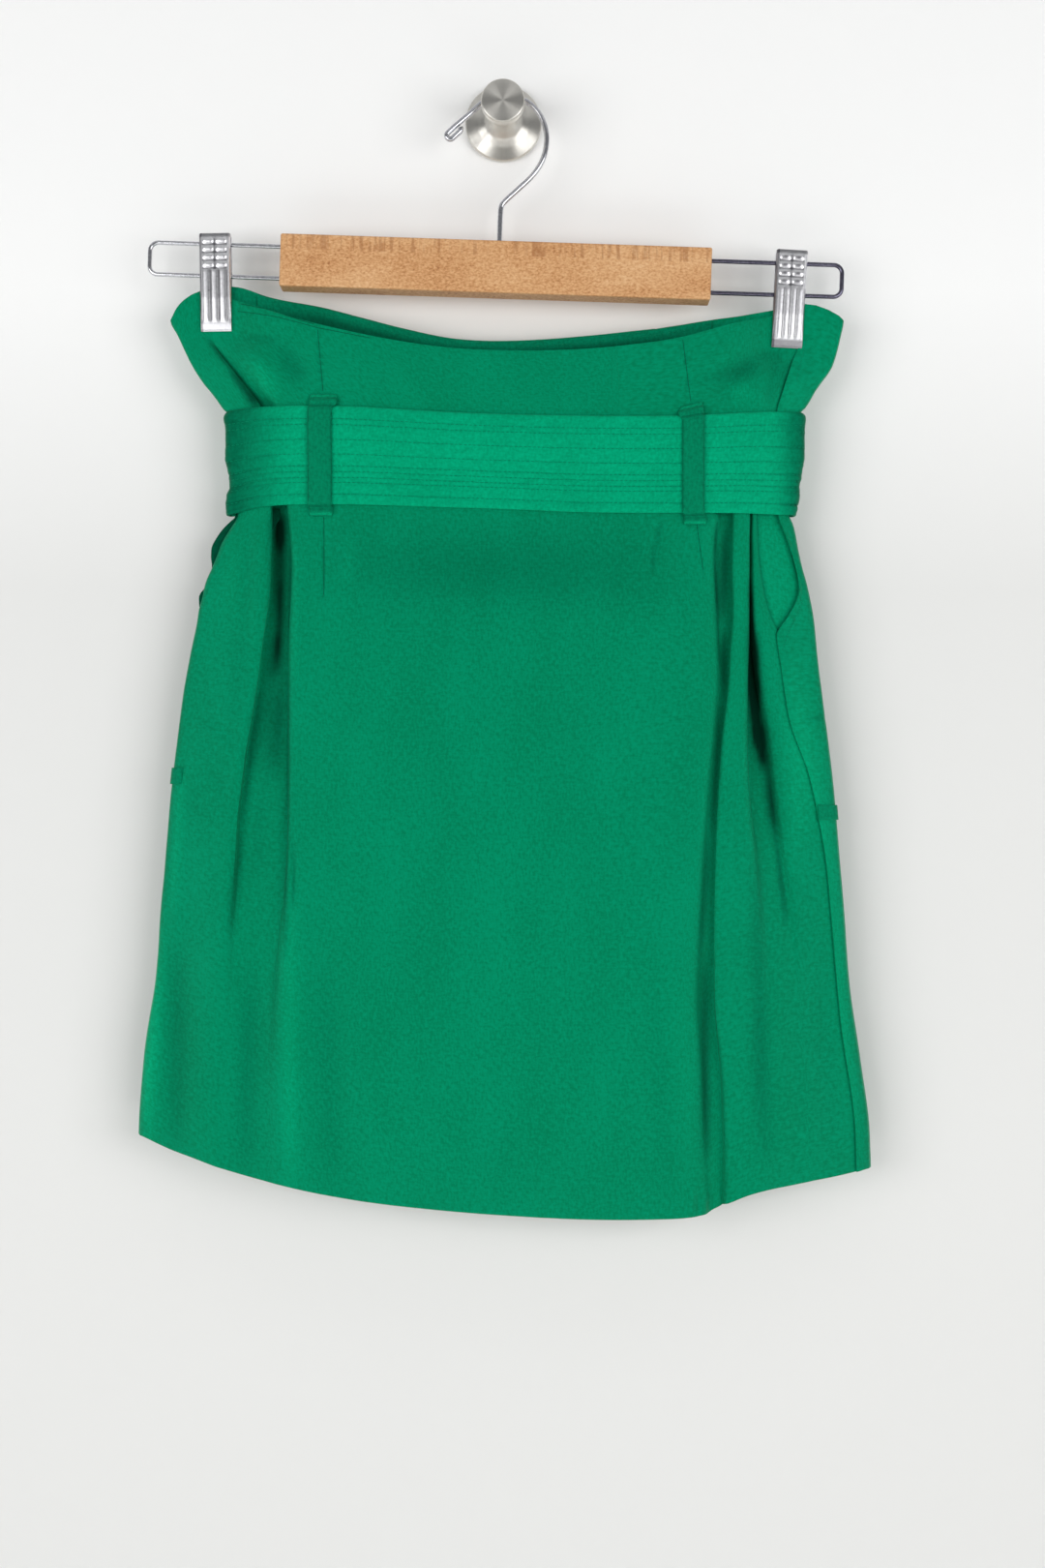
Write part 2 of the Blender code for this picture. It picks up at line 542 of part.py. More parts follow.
def cloth():
    panel("back_panel", back_section, back_top, hem, (10, 3), BACK_ROWS, "satin")
    # the outer front panel starts on the near layer, at the right side seam
    panel("front_wrap_over", front_over_section, front_top, front_hem, (9, 2), OVER_ROWS, "satin")
    panel("front_wrap_under", front_under_section, front_top, front_hem, (8, 2), UNDER_ROWS, "satin_shade")
    facing()
    belt()
    for side, x, width in zip(("left", "right"), LOOP_X, LOOP_WIDTH):
        belt_loop("belt_loop_" + side, x, width)
    tops = np.linspace(POCKET_TOP, POCKET_RIGHT_FOOT, 8)
    wall("pocket_facing_right", lofted(pocket_right_section, tops), CLOTH, "satin")
    tops = np.linspace(POCKET_TOP - 8.0, POCKET_FOOT, 8)
    wall("pocket_facing_left", lofted(pocket_left_section, tops), CLOTH, "satin_shade")
    for name, end, span, start, stop in (("seam_tab_right", "right", TAB_RIGHT, 12.6, 12.0),
                                         ("seam_tab_left", "left", TAB_LEFT, 8.4, 15.0)):
        rows = [tab_section(z, end, start, stop) for z in span]
        grid = [rounded([(*lerp(np.array(a), np.array(b), t), lerp(*span, t)) for a, b in zip(*rows)])
                for t in (0.0, 0.5, 1.0)]
        wall(name, np.array(grid), TAB_WALL, "satin")


def facing():
    """The facing follows the front's top edge, a little below it."""
    grid = []
    for t in np.linspace(0.0, 1.0, 4):
        row = []
        for j, x in enumerate(FACING_COLUMNS):
            z = front_top(x) - 1.0 - FACING_DROP * t
            row.append((*facing_section(z)[j], z))
        grid.append(rounded(row))
    wall("front_facing", np.array(grid), FACING_WALL, "satin_shade")


def belt():
    """The strip between the belt's two edge lines."""
    middle = belt_section((BELT_TOP + BELT_BOTTOM) / 2)
    grid = []
    for t in np.linspace(0.0, 1.0, 5):
        heights = [lerp(read(BELT_EDGES, "top", x), read(BELT_EDGES, "bottom", x), t) for x, y in middle]
        row = [(*belt_section(z)[j], z) for j, z in enumerate(heights)]
        grid.append(rounded(row))
    wall("belt", np.array(grid), BELT_WALL, "belt_satin")


def belt_loop(name, x, width):
    """A strip over the belt; its ends turn in and lie on the skirt above and below."""
    skin = CLOTH / 2 + SEAM_GAP + LOOP_WALL / 2 + 0.1
    lift = skin + BELT_WALL + BELT_GAP
    top = read(BELT_EDGES, "top", x)
    foot = read(BELT_EDGES, "bottom", x)
    path = [(top + LOOP_END, skin), (top + 4.6, skin), (top + 2.0, lift), (lerp(top, foot, 0.15), lift + 0.2),
            (lerp(top, foot, 0.5), lift + 0.3), (lerp(top, foot, 0.85), lift + 0.2), (foot - 2.0, lift),
            (foot - 4.6, skin), (foot - LOOP_END, skin)]
    grid = []
    for z, out in rounded(path, 2):
        y = min(flat(x + width * t, z, NEAR)[1] for t in (-0.5, 0.5)) - out
        grid.append([(x + width * t, y, z) for t in (-0.5, 0.0, 0.5)])
    wall(name, np.array(grid), LOOP_WALL, "satin")


# ---- hanger ----
def bar_frame():
    return Matrix.Translation(Vector(BAR_CENTRE) * MM) @ Matrix.Rotation(TILT, 4, "Y")


def wire(name, points, radius, look, frame=Matrix.Identity(4)):
    curve = bpy.data.curves.new(name, "CURVE")
    curve.dimensions = "3D"
    curve.bevel_depth = radius * MM
    curve.bevel_resolution = 2
    curve.use_fill_caps = True
    spline = curve.splines.new("POLY")
    spline.points.add(len(points) - 1)
    for point, place in zip(spline.points, points):
        point.co = (*(Vector(place) * MM), 1.0)
    piece = add_object(name, curve, look)
    piece.matrix_world = frame
    return piece


def bore(name, start, axis, length, radius):
    """A cylinder that cuts a bore into the bar, in the bar's own frame."""
    bm = bmesh.new()
    turn = {"X": Matrix.Rotation(math.pi / 2, 4, "Y"), "Z": Matrix.Identity(4)}[axis]
    place = bar_frame() @ Matrix.Translation(Vector(start) * MM) @ turn
    bmesh.ops.create_cone(bm, cap_ends=True, segments=12, radius1=radius * MM, radius2=radius * MM,
                          depth=2 * length * MM, matrix=place)
    mesh = bpy.data.meshes.new(name)
    bm.to_mesh(mesh)
    bm.free()
    cutter = bpy.data.objects.new(name, mesh)
    groups["cutters"].objects.link(cutter)
    cutter.hide_render = True
    cutter.display_type = "WIRE"
    return cutter


def hanger():
    bm = bmesh.new()
    bmesh.ops.create_cube(bm, size=1.0)
    bmesh.ops.scale(bm, vec=Vector(BAR_SIZE) * MM, verts=bm.verts)
    mesh = bpy.data.meshes.new("hanger_bar")
    bm.to_mesh(mesh)
    bm.free()
    bar = add_object("hanger_bar", mesh, "beech")
    bar.matrix_world = bar_frame()
    edges = bar.modifiers.new("eased edges", "BEVEL")
    edges.width = 1.0 * MM
    edges.segments = 2
    half = BAR_SIZE[0] / 2
    bores = [("bore_%d" % k, (sx * half, 0, sz * ARM_HALF_HEIGHT), "X", ARM_SEAT + 1, ARM_WIRE + BORE_GAP)
             for k, (sx, sz) in enumerate([(-1, -1), (-1, 1), (1, -1), (1, 1)])]
    bores.append(("bore_hook", (HOOK_FOOT, 0, BAR_SIZE[2] / 2), "Z", HOOK_SEAT + 1, HOOK_WIRE + BORE_GAP))
    for spec in bores:
        cut = bar.modifiers.new(spec[0], "BOOLEAN")
        cut.object = bore(*spec)
    shade(mesh)
    for name, sign in (("hanger_arm_left", -1), ("hanger_arm_right", 1)):
        inner, outer, tall, c = half - ARM_SEAT, ARM_REACH, ARM_HALF_HEIGHT, ARM_CORNER
        path = [(inner, tall), (half + 2, tall), (outer - 2 * c, tall)]
        bend = np.linspace(0, math.pi / 2, 6)
        path += [(outer - c + c * math.sin(a), tall - c + c * math.cos(a)) for a in bend]
        path += [(x, -z) for x, z in path[::-1]]
        wire(name, [(sign * x, 0, z) for x, z in path], ARM_WIRE, "chrome", bar_frame())
    hook()


def hook():
    foot = bar_frame() @ (Vector((HOOK_FOOT, 0, BAR_SIZE[2] / 2 - HOOK_SEAT)) * MM) / MM
    mouth = bar_frame() @ (Vector((HOOK_FOOT, 0, BAR_SIZE[2] / 2 + 3.0)) * MM) / MM
    points = [(foot.x, foot.z), (mouth.x, mouth.z)] + HOOK_ROUTE
    eye = [(EYE_HALF, EYE_RADIUS), (0.0, EYE_RADIUS)]
    for centre, start, stop in ((-EYE_HALF, 90, 270), (EYE_HALF, 270, 342)):
        for a in np.radians(np.linspace(start, stop, 7 if centre < 0 else 4)):
            eye.append((centre + EYE_RADIUS * math.cos(a), EYE_RADIUS * math.sin(a)))
    route = list(rounded(points, 2))
    for u, w in eye:
        route.append((EYE_CENTRE[0] + u * math.cos(EYE_TURN) - w * math.sin(EYE_TURN),
                      EYE_CENTRE[1] + u * math.sin(EYE_TURN) + w * math.cos(EYE_TURN)))
    wire("hanger_hook", [(x, HANG_Y, z) for x, z in route], HOOK_WIRE, "chrome")


# ---- clips ----
def clip(side, k):
    top = Matrix.Translation(Vector((CLIP_MIDDLE[k], 0, CLIP_TOP[k])) * MM)
    frame = top @ Matrix.Rotation(CLIP_LEAN[k], 4, "Y")
    name = "clip_%s_" % side
    front = []
    for row in range(len(FRONT_JAW["drop"])):
        drop, y, relief, flange = (FRONT_JAW[column][row] for column in ("drop", "y", "relief", "flange"))
        front.append([(x, y + (d * flange if d > 0 else d * relief), -drop) for x, d in FLUTES])
    rear = [[(x, y, -drop) for x in REAR_ACROSS] for drop, y in zip(REAR_JAW["drop"], REAR_JAW["y"])]
    for part, grid in (("front", front), ("rear", rear)):
        piece = wall(name + part, np.array(grid), CLIP_SHEET, "chrome")
        piece.matrix_world = frame
    spring(name + "spring", SPRING_ALONG[k])


def spring(name, middle):
    """The coil round the lower wire, as a turned sleeve."""
    low, high = SPRING_RADII
    half = SPRING_LENGTH / 2
    bm = bmesh.new()
    corners = ((low, 0, half), (high, 0, half), (high, 0, -half), (low, 0, -half))
    ring = [bm.verts.new(Vector(p) * MM) for p in corners]
    for k in range(4):
        bm.edges.new((ring[k], ring[(k + 1) % 4]))
    mesh = bpy.data.meshes.new(name)
    bm.to_mesh(mesh)
    bm.free()
    piece = add_object(name, mesh, "chrome")
    piece.matrix_world = bar_frame() @ Matrix.Translation(Vector((middle, 0, -ARM_HALF_HEIGHT)) * MM) \
        @ Matrix.Rotation(math.pi / 2, 4, "Y")
    turned(piece, 20).use_normal_flip = True


def turned(piece, steps):
    screw = piece.modifiers.new("turned", "SCREW")
    screw.steps = steps
    screw.render_steps = steps
    screw.use_merge_vertices = True
    screw.merge_threshold = 0.00001
    screw.use_smooth_shade = True
    screw.use_normal_calculate = True
    return screw


def peg():
    bm = bmesh.new()
    points = [bm.verts.new(Vector((radius, 0, out)) * MM)
              for out, radius in zip(PEG_PROFILE["out"][::-1], PEG_PROFILE["radius"][::-1])]
    for a, b in zip(points[:-1], points[1:]):
        bm.edges.new((a, b))
    mesh = bpy.data.meshes.new("wall_peg")
    bm.to_mesh(mesh)
    bm.free()
    piece = add_object("wall_peg", mesh, "brushed_steel")
    piece.rotation_euler = (math.pi / 2, 0, 0)
    turned(piece, 28)


remove_everything()
groups = {"parts": bpy.data.collections.new(COLLECTION), "cutters": bpy.data.collections.new("cutters")}
for group in groups.values():
    bpy.context.scene.collection.children.link(group)
cloth()
hanger()
clip("left", 0)
clip("right", 1)
peg()
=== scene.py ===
# A green high-waisted wrap skirt, seen from its back, clipped to a hanger that hangs on a round wall peg.
# The tables and sizes are in millimetres, as in the solids; every mesh is in metres, in the solids' frame:
# +X right, +Y into the wall, +Z up, with the origin at the middle of the peg's base.
import functools
import math
import bpy
import numpy as np
from mathutils import Matrix, Vector, noise


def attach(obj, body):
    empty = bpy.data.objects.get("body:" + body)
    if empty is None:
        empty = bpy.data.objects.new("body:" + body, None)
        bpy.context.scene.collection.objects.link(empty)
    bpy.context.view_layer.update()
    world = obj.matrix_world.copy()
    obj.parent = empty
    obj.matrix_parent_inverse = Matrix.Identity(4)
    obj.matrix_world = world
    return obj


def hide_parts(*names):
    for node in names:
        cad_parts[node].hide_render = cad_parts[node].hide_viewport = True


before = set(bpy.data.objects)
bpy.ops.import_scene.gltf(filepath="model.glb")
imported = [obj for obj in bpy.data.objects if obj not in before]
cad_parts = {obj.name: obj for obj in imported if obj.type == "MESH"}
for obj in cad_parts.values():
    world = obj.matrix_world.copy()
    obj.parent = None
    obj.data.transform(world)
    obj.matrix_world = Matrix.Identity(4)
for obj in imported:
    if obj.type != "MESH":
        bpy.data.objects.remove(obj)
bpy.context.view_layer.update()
print("frame loaded:", len(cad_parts), "nodes")

mm = 0.001
hangY = -25.0              # plane of the hanger and of the skirt's two side folds
near, far = -1, 1          # the two layers of the tube: the back panel, and the front behind it

# measures of the skirt
skirt = {
    "clothWall": 1.2, "seamGap": 0.35, "beltWall": 1.6, "beltGap": 0.6, "facingWall": 1.0, "tabWall": 1.0,
    "tabGap": 0.12, "loopWall": 1.2, "sewnGap": 0.1,
    "beltTop": -180.0, "beltBottom": -241.0,
    "pinch": 0.95,                        # half the distance between the layers' middles in a clip
    "clipX": (-169.5, 168.4), "clipLip": (-134.0, -143.0), "jawHalf": 10.0, "jawEase": 12.0,
    "pleat": 6.0, "lap": 1.7, "wrapEdge": -60.0, "underEdge": 90.0, "underInset": 1.9, "facingDrop": 24.0,
    "sideGap": 0.3, "frontHemLift": 5.0, "hemHalf": 217.0, "heldLift": 1.0, "lipLap": (1.4, 10.0),
    "pocketTop": -236.0, "pocketLift": 0.85, "pocketFoot": -299.5, "pocketRightFoot": -314.0,
    "tabRight": (-411.6, -420.4), "tabLeft": (-389.6, -399.2),
    "loopX": (-107.4, 111.6), "loopWidth": (14.0, 12.6), "loopEnd": 6.8,
}


def makeTable(names, rows):
    values = np.array(rows, dtype=float)
    return {"key": values[:, 0], **{name: values[:, i] for i, name in enumerate(names.split())}}


tables = {
    # folds at the sides, swell of each layer, fold radius, and the belt's own folds
    "body": makeTable("z left right near far fold beltLeft beltRight", [
        (-104, -196.4, 201.1, 6, 6, 1.5, -160.5, 173.8), (-125, -196.4, 201.1, 6.5, 6, 1.6, -160.5, 173.8),
        (-133, -192.4, 199.6, 7, 6, 1.6, -160.5, 173.8), (-152, -183.2, 194.4, 7, 6, 1.8, -160.5, 173.8),
        (-162, -176.8, 187.6, 6.5, 6, 2, -160.5, 173.8), (-167, -172.7, 184, 6.2, 6, 2.1, -160.5, 173.8),
        (-172, -168.9, 181.4, 6, 6, 2.2, -160.5, 173.8), (-178, -164.6, 177.2, 6, 6, 2.2, -160.5, 173.8),
        (-183, -158.6, 171.4, 6, 6, 2.3, -162.6, 176.3), (-190, -157.6, 170.6, 6, 6, 2.4, -161.4, 175.8),
        (-206, -157.4, 170.4, 6, 6, 2.4, -161.7, 175.7), (-218, -156.4, 169.2, 6, 6, 2.4, -159.5, 173.5),
        (-224, -156.2, 168.4, 6, 6, 2.4, -159.2, 172.9), (-229, -156.6, 168.2, 6, 6, 2.4, -160.9, 172.9),
        (-235, -156.6, 168, 6, 6, 2.4, -161.4, 171.8), (-241, -156.3, 168.6, 6, 6, 2.4, -161, 170.7),
        (-245, -158.6, 170.8, 6.1, 6, 2.4, -161, 170.2), (-252, -163, 172.6, 6.3, 6, 2.6, -161, 170.2),
        (-258, -166.3, 173.6, 6.5, 6.1, 2.7, -161, 170.2), (-264, -168.4, 174.8, 6.8, 6.2, 2.8, -161, 170.2),
        (-271, -171.3, 176.4, 7, 6.3, 2.8, -161, 170.2), (-281, -175.6, 179.2, 7.1, 6.4, 2.8, -161, 170.2),
        (-290, -177.5, 181.2, 7.3, 6.4, 2.9, -161, 170.2), (-296, -179.3, 182.4, 7.5, 6.5, 2.9, -161, 170.2),
        (-304, -180.5, 183.6, 7.6, 6.6, 3, -161, 170.2), (-325, -184.9, 185.6, 8, 6.8, 3.1, -161, 170.2),
        (-346, -188.7, 188.2, 8.4, 7, 3.2, -161, 170.2), (-399, -195.3, 194.8, 9.4, 7.6, 3.4, -161, 170.2),
        (-450, -199.8, 199.2, 10.4, 8.2, 3.6, -161, 170.2), (-473, -202, 201.2, 10.8, 8.5, 3.7, -161, 170.2),
        (-515, -204.6, 204.2, 11.6, 9, 3.8, -161, 170.2), (-563, -211.2, 211, 12.4, 9.6, 4, -161, 170.2),
        (-606, -214.8, 216.4, 13.2, 10.2, 4, -161, 170.2), (-660, -215.8, 217.6, 13.6, 10.4, 4, -161, 170.2)]),
    "backTop": makeTable("x z", [
        (-196.4, -124.9), (-193.6, -119), (-188.2, -113), (-179.8, -108.5), (-160, -112.8), (-134, -122),
        (-108, -129.6), (-84, -134.4), (-50, -141.5), (-17, -144.6), (23, -145), (80.5, -141), (106.7, -136.4),
        (131, -129.6), (158, -122.8), (179.8, -116.2), (191.1, -118.9), (198, -121.6), (201.1, -125.2)]),
    "frontTop": makeTable("x z", [
        (-196.4, -124.9), (-193.6, -118.9), (-188.2, -112.6), (-179.8, -107), (-160, -104.6), (-137, -110.4),
        (-109, -115), (-86, -121.3), (-62.6, -127.6), (-41.3, -132.2), (-21.8, -135.9), (0, -136.2), (41.9, -133.4),
        (81, -129.9), (118.3, -123.6), (159, -119), (179.8, -115.6), (191.1, -118.7), (198, -121.5),
        (201.1, -125.2)]),
    "hem": makeTable("x z", [
        (-216.5, -605.6), (-209.8, -607.7), (-195.6, -613.8), (-181.4, -618), (-167.2, -623.1), (-153, -627.2),
        (-132.2, -632.3), (-97.7, -639.7), (-64.9, -644.5), (-32.6, -647.6), (0.2, -650.4), (49.4, -652.7),
        (85.6, -653), (102.3, -652.4), (117, -650.4), (130.5, -644.2), (144.8, -638.4), (159, -635.4),
        (173.2, -633.4), (187.4, -630.6), (201.6, -629), (208, -628), (217.6, -625.6)]),
    "beltEdges": makeTable("x top bottom", [
        (-163, -179.4, -240.6), (-144, -177.6, -236.2), (-125, -177.2, -235), (-99, -177.5, -235),
        (-32, -181.3, -237), (0, -182.6, -237.8), (39, -183.4, -239.6), (61, -183.6, -240.2), (103, -183.4, -240.2),
        (135, -181.6, -240), (162, -180.2, -240.4), (176, -180.2, -240.8)]),
    # the four pleats: where the edge lies, how far the cloth turns back under it (0 flat, 120 tucked), and how
    # much deeper than the turn alone the hollow beside it goes
    "pleatA": makeTable("z edge turn more", [
        (-104, -180, 2, 0), (-130, -179, 6, 0), (-135, -175.8, 44, 0), (-143, -169.4, 88, 0),
        (-152, -162.2, 108, 0.2), (-166, -150.8, 118, 0.5), (-176, -143.2, 122, 0.8), (-183, -141, 122, 1),
        (-205, -139.5, 122, 2), (-241, -136, 122, 4.5), (-281, -136.8, 120, 5), (-316, -141.2, 116, 4.6),
        (-337, -143.6, 114, 4), (-351, -145.8, 112, 3.5), (-380, -150.8, 105, 2.6), (-418, -155.6, 95, 1.4),
        (-450, -158, 78, 0.6), (-489, -162, 46, 0), (-540, -164, 18, 0), (-606, -168, 8, 0), (-660, -169, 8, 0)]),
    "pleatB": makeTable("z edge turn more", [
        (-104, -163, 0, 0), (-134, -160.5, 0, 0), (-143, -156, 8, 0), (-152, -149.5, 12, 0), (-166, -140, 22, 0.3),
        (-180, -132.5, 60, 0.8), (-205, -131, 105, 2), (-241, -126.8, 120, 4.5), (-274, -123.8, 120, 5),
        (-310, -125.3, 118, 4.6), (-354, -126, 114, 3.5), (-397, -125.8, 112, 2.4), (-435, -126.2, 104, 1.2),
        (-462, -126.9, 90, 0.5), (-490, -128.2, 62, 0), (-530, -130.8, 34, 0), (-570, -132, 14, 0),
        (-660, -132, 8, 0)]),
    "pleatC": makeTable("z edge turn more", [
        (-104, 140, 0, 0), (-160, 139, 0, 0), (-190, 137, 0, 0), (-210, 136, 70, 0), (-241, 135.6, 115, 1),
        (-271, 134.8, 118, 1.6), (-296, 135.2, 118, 1.6), (-321, 133.4, 117, 1.5), (-345, 131.9, 116, 1.2),
        (-370, 129, 114, 1), (-395, 127.1, 112, 0.8), (-428, 125.2, 110, 0.6), (-470, 124, 106, 0.4),
        (-522, 123.6, 98, 0.3), (-554, 126.9, 88, 0.2), (-576, 129.2, 80, 0), (-621, 130.8, 72, 0),
        (-660, 131, 66, 0)]),
    "pleatD": makeTable("z edge turn more", [
        (-104, 148, 0, 0), (-160, 148, 0, 0), (-190, 147, 0, 0), (-210, 146.2, 70, 0), (-241, 145.6, 116, 0.5),
        (-260, 145.1, 118, 1), (-290, 145, 119, 3), (-314, 145, 120, 4.5), (-333, 144.2, 120, 5.5),
        (-345, 143.9, 116, 5.5), (-370, 143.2, 108, 4.4), (-395, 143.8, 98, 2.6), (-420, 145.4, 82, 1),
        (-450, 147.6, 52, 0), (-500, 150, 22, 0), (-560, 152, 9, 0), (-660, 153, 6, 0)]),
    # how far left of pleat C the hollow beside it begins
    "trough": makeTable("z wide", [
        (-104, 36), (-192, 36), (-236, 16), (-242, 8.4), (-253, 10.8), (-271, 11.2), (-290, 10.6), (-314, 8.8),
        (-327, 7), (-345, 6.2), (-370, 5.8), (-395, 6.4), (-428, 7.2), (-480, 9), (-540, 11), (-660, 14)]),
    # the lip on the right of the hollow beside pleat D
    "lip": makeTable("z x", [
        (-104, 152), (-236, 147.6), (-259, 147.2), (-290, 147), (-321, 148.6), (-345, 151.7), (-359, 154.6),
        (-382, 157.6), (-407, 160.6), (-428, 163.6), (-480, 171), (-660, 180)]),
    "sideSeam": makeTable("z back front gape", [
        (-104, 182, 177.5, 0), (-125, 181.6, 177, 0), (-134, 181, 176.4, 0), (-142, 179, 174.2, 0.3),
        (-150, 175.4, 170.8, 0.5), (-160, 171, 167.4, 0.6), (-170, 167, 164.2, 0.6), (-180, 163.4, 161.4, 0.4),
        (-200, 157, 161.2, 0), (-221, 151, 161.2, 0), (-241, 149.4, 162.4, 0.4), (-252, 149.6, 166.6, 0.8),
        (-266, 150.4, 171.8, 1), (-278, 152, 174.6, 1.2), (-284, 153, 175, 1.2), (-291, 154.4, 173, 1),
        (-303, 158.4, 166.2, 0.5), (-311, 162.6, 161, 0), (-329, 167, 163.4, 0), (-360, 172, 168, 0),
        (-394, 184.2, 180.2, 0), (-420, 189.8, 186, 0), (-444, 193.8, 190.2, 0), (-480, 197, 193.6, 0),
        (-540, 202.4, 199, 0), (-606, 211.2, 207.6, 0), (-660, 212.2, 208.6, 0)]),
    "leftPocket": makeTable("z leave bulge", [
        (-230, 0, 0), (-236, 1.5, 1.6), (-241, 3, 3.4), (-245, 4.6, 5.2), (-250, 8, 6.6), (-258, 11, 6.9),
        (-264, 11, 5.6), (-270, 11, 2.6), (-275, 11, 0.9), (-281, 11, 0.9), (-288, 10, 4), (-292, 9, 3),
        (-297, 7, 1), (-304, 3, 0.4), (-310, 0, 0)]),
}


def smooth(xs, ys, x):                 # monotone cubic through a table's rows, level beyond its ends
    if xs[0] > xs[-1]:
        xs, ys = xs[::-1], ys[::-1]
    x = min(max(x, xs[0]), xs[-1])
    k = min(int(np.searchsorted(xs, x, side="right")) - 1, len(xs) - 2)
    lo, hi = max(k - 1, 0), min(k + 3, len(xs))
    steps = np.diff(xs[lo:hi])
    grades = np.diff(ys[lo:hi]) / steps

    def slope(i):
        if i == 0 or i == len(xs) - 1 or grades[i - 1 - lo] * grades[i - lo] <= 0:
            return 0.0
        return 2.0 * grades[i - 1 - lo] * grades[i - lo] / (grades[i - 1 - lo] + grades[i - lo])

    step = xs[k + 1] - xs[k]
    t = (x - xs[k]) / step
    a, b, c = 2 * t ** 3 - 3 * t ** 2 + 1, t ** 3 - 2 * t ** 2 + t, t ** 3 - t ** 2
    return float(a * ys[k] + b * step * slope(k) + (1 - a) * ys[k + 1] + c * step * slope(k + 1))


@functools.lru_cache(maxsize=None)
def readRow(table, column, at):
    return smooth(tables[table]["key"], tables[table][column], at)


def easeIn(x, start, end):
    t = min(max((x - start) / (end - start), 0.0), 1.0)
    return t * t * (3 - 2 * t)


def lerp(a, b, t):
    return a + (b - a) * t


# the tube that the cloth follows
def pinched(x, z):                     # 1 in a clip's jaws, falling to 0 around them
    most = 0.0
    for centre, lip in zip(skirt["clipX"], skirt["clipLip"]):
        aside = max(abs(x - centre) - skirt["jawHalf"], 0.0) / skirt["jawEase"]
        below = max(lip - z, 0.0) / skirt["jawEase"]
        most = max(most, math.exp(-aside ** 2 - below ** 2))
    return most


def foldRadius(z, end):
    return lerp(readRow("body", "fold", z), skirt["pinch"], pinched(readRow("body", end, z), z))


def onLayer(x, z, side, depth=0.0):    # a point of a layer, moved in from it by depth
    left = readRow("body", "left", z) + foldRadius(z, "left")
    right = readRow("body", "right", z) - foldRadius(z, "right")
    across = min(abs(2 * x - left - right) / (right - left), 1.0)
    swell = readRow("body", "near" if side == near else "far", z)
    free = readRow("body", "fold", z) + swell * (1 - across ** 5)
    half = lerp(free, skirt["pinch"], pinched(x, z))
    return (x, hangY + side * (half - depth))


def cornerPoints(z, end, side, depth=0.0):
    r = foldRadius(z, end) - depth
    inward = 1 if end.endswith("eft") else -1
    outermost = readRow("body", end, z) + inward * depth
    return [(outermost, hangY + side * 0.5 * r), (outermost + inward * 0.45 * r, hangY + side * 0.95 * r)]


def besideFold(distance, z, end, side, depth=0.0):
    inward = 1 if end.endswith("eft") else -1
    return onLayer(readRow("body", end, z) + inward * distance, z, side, depth)


def roundFold(z, end, depth=0.0):
    r = foldRadius(z, end) - depth
    return [besideFold(1.3 * r, z, end, near, depth)] + cornerPoints(z, end, near, depth)[::-1] \
        + cornerPoints(z, end, far, depth) + [besideFold(1.3 * r, z, end, far, depth)]


def pleatPoints(table, z, toward):     # a pleat's edge, middle and root, with their depths
    edge = readRow(table, "edge", z)
    turn = math.radians(readRow(table, "turn", z))
    run = toward * skirt["pleat"] * math.cos(turn)
    deep = (skirt["pleat"] * math.sin(turn) + readRow(table, "more", z)) * (1 - pinched(edge, z))
    return [(edge + run * t, deep * t) for t in (0.0, 0.5, 1.0)]


# sections of the cloth at a height: control points (x, y), in order along the cloth
columns = {
    # where they lie in the back panel, as shares of each stretch between two pleats
    "wing": (0.1, 0.33, 0.57, 0.8), "tuck": (0.25, 0.5, 0.75),
    "middle": (0.02, 0.055, 0.11, 0.2, 0.32, 0.44, 0.56, 0.68, 0.78),
    "trough": ((2.2, 0.0), (1.35, 0.02), (1.0, 0.2), (0.82, 0.7), (0.5, 0.9), (0.2, 1.0)),     # and of its depth
    "lap": (0.1, 0.2, 0.22, 0.3, 0.6, 1.0),
    # their x in the panels that lie flat, and in the belt how far from a fold
    "over": (188, 182, 176, 169, 162, 156, 149, 138, 122, 100, 74, 44, 12, -20, -44, skirt["wrapEdge"]),
    "under": (-180, -175, -169, -163, -157, -150, -140, -126, -108, -92, -78, -60, -28, 10, 50, skirt["underEdge"]),
    "facing": (-146, -139, -131, -124, -117, -108, -98, -88, -78, -66, -50, -30, -5, 20, 45, 66, 84, 98, 112, 124),
    "belt": (8, 15, 24, 36, 52, 74, 100, 130), "beltEnd": (-18, 8, 40), "beltLap": (-36, -8, 24),
    "opened": (0.4, 1.8, 3.4, 5.4),    # from the left pocket's free edge
    "overHalf": 195.0, "underHalf": 190.4, "endInset": 4.0,    # half widths that these x are stated for
}


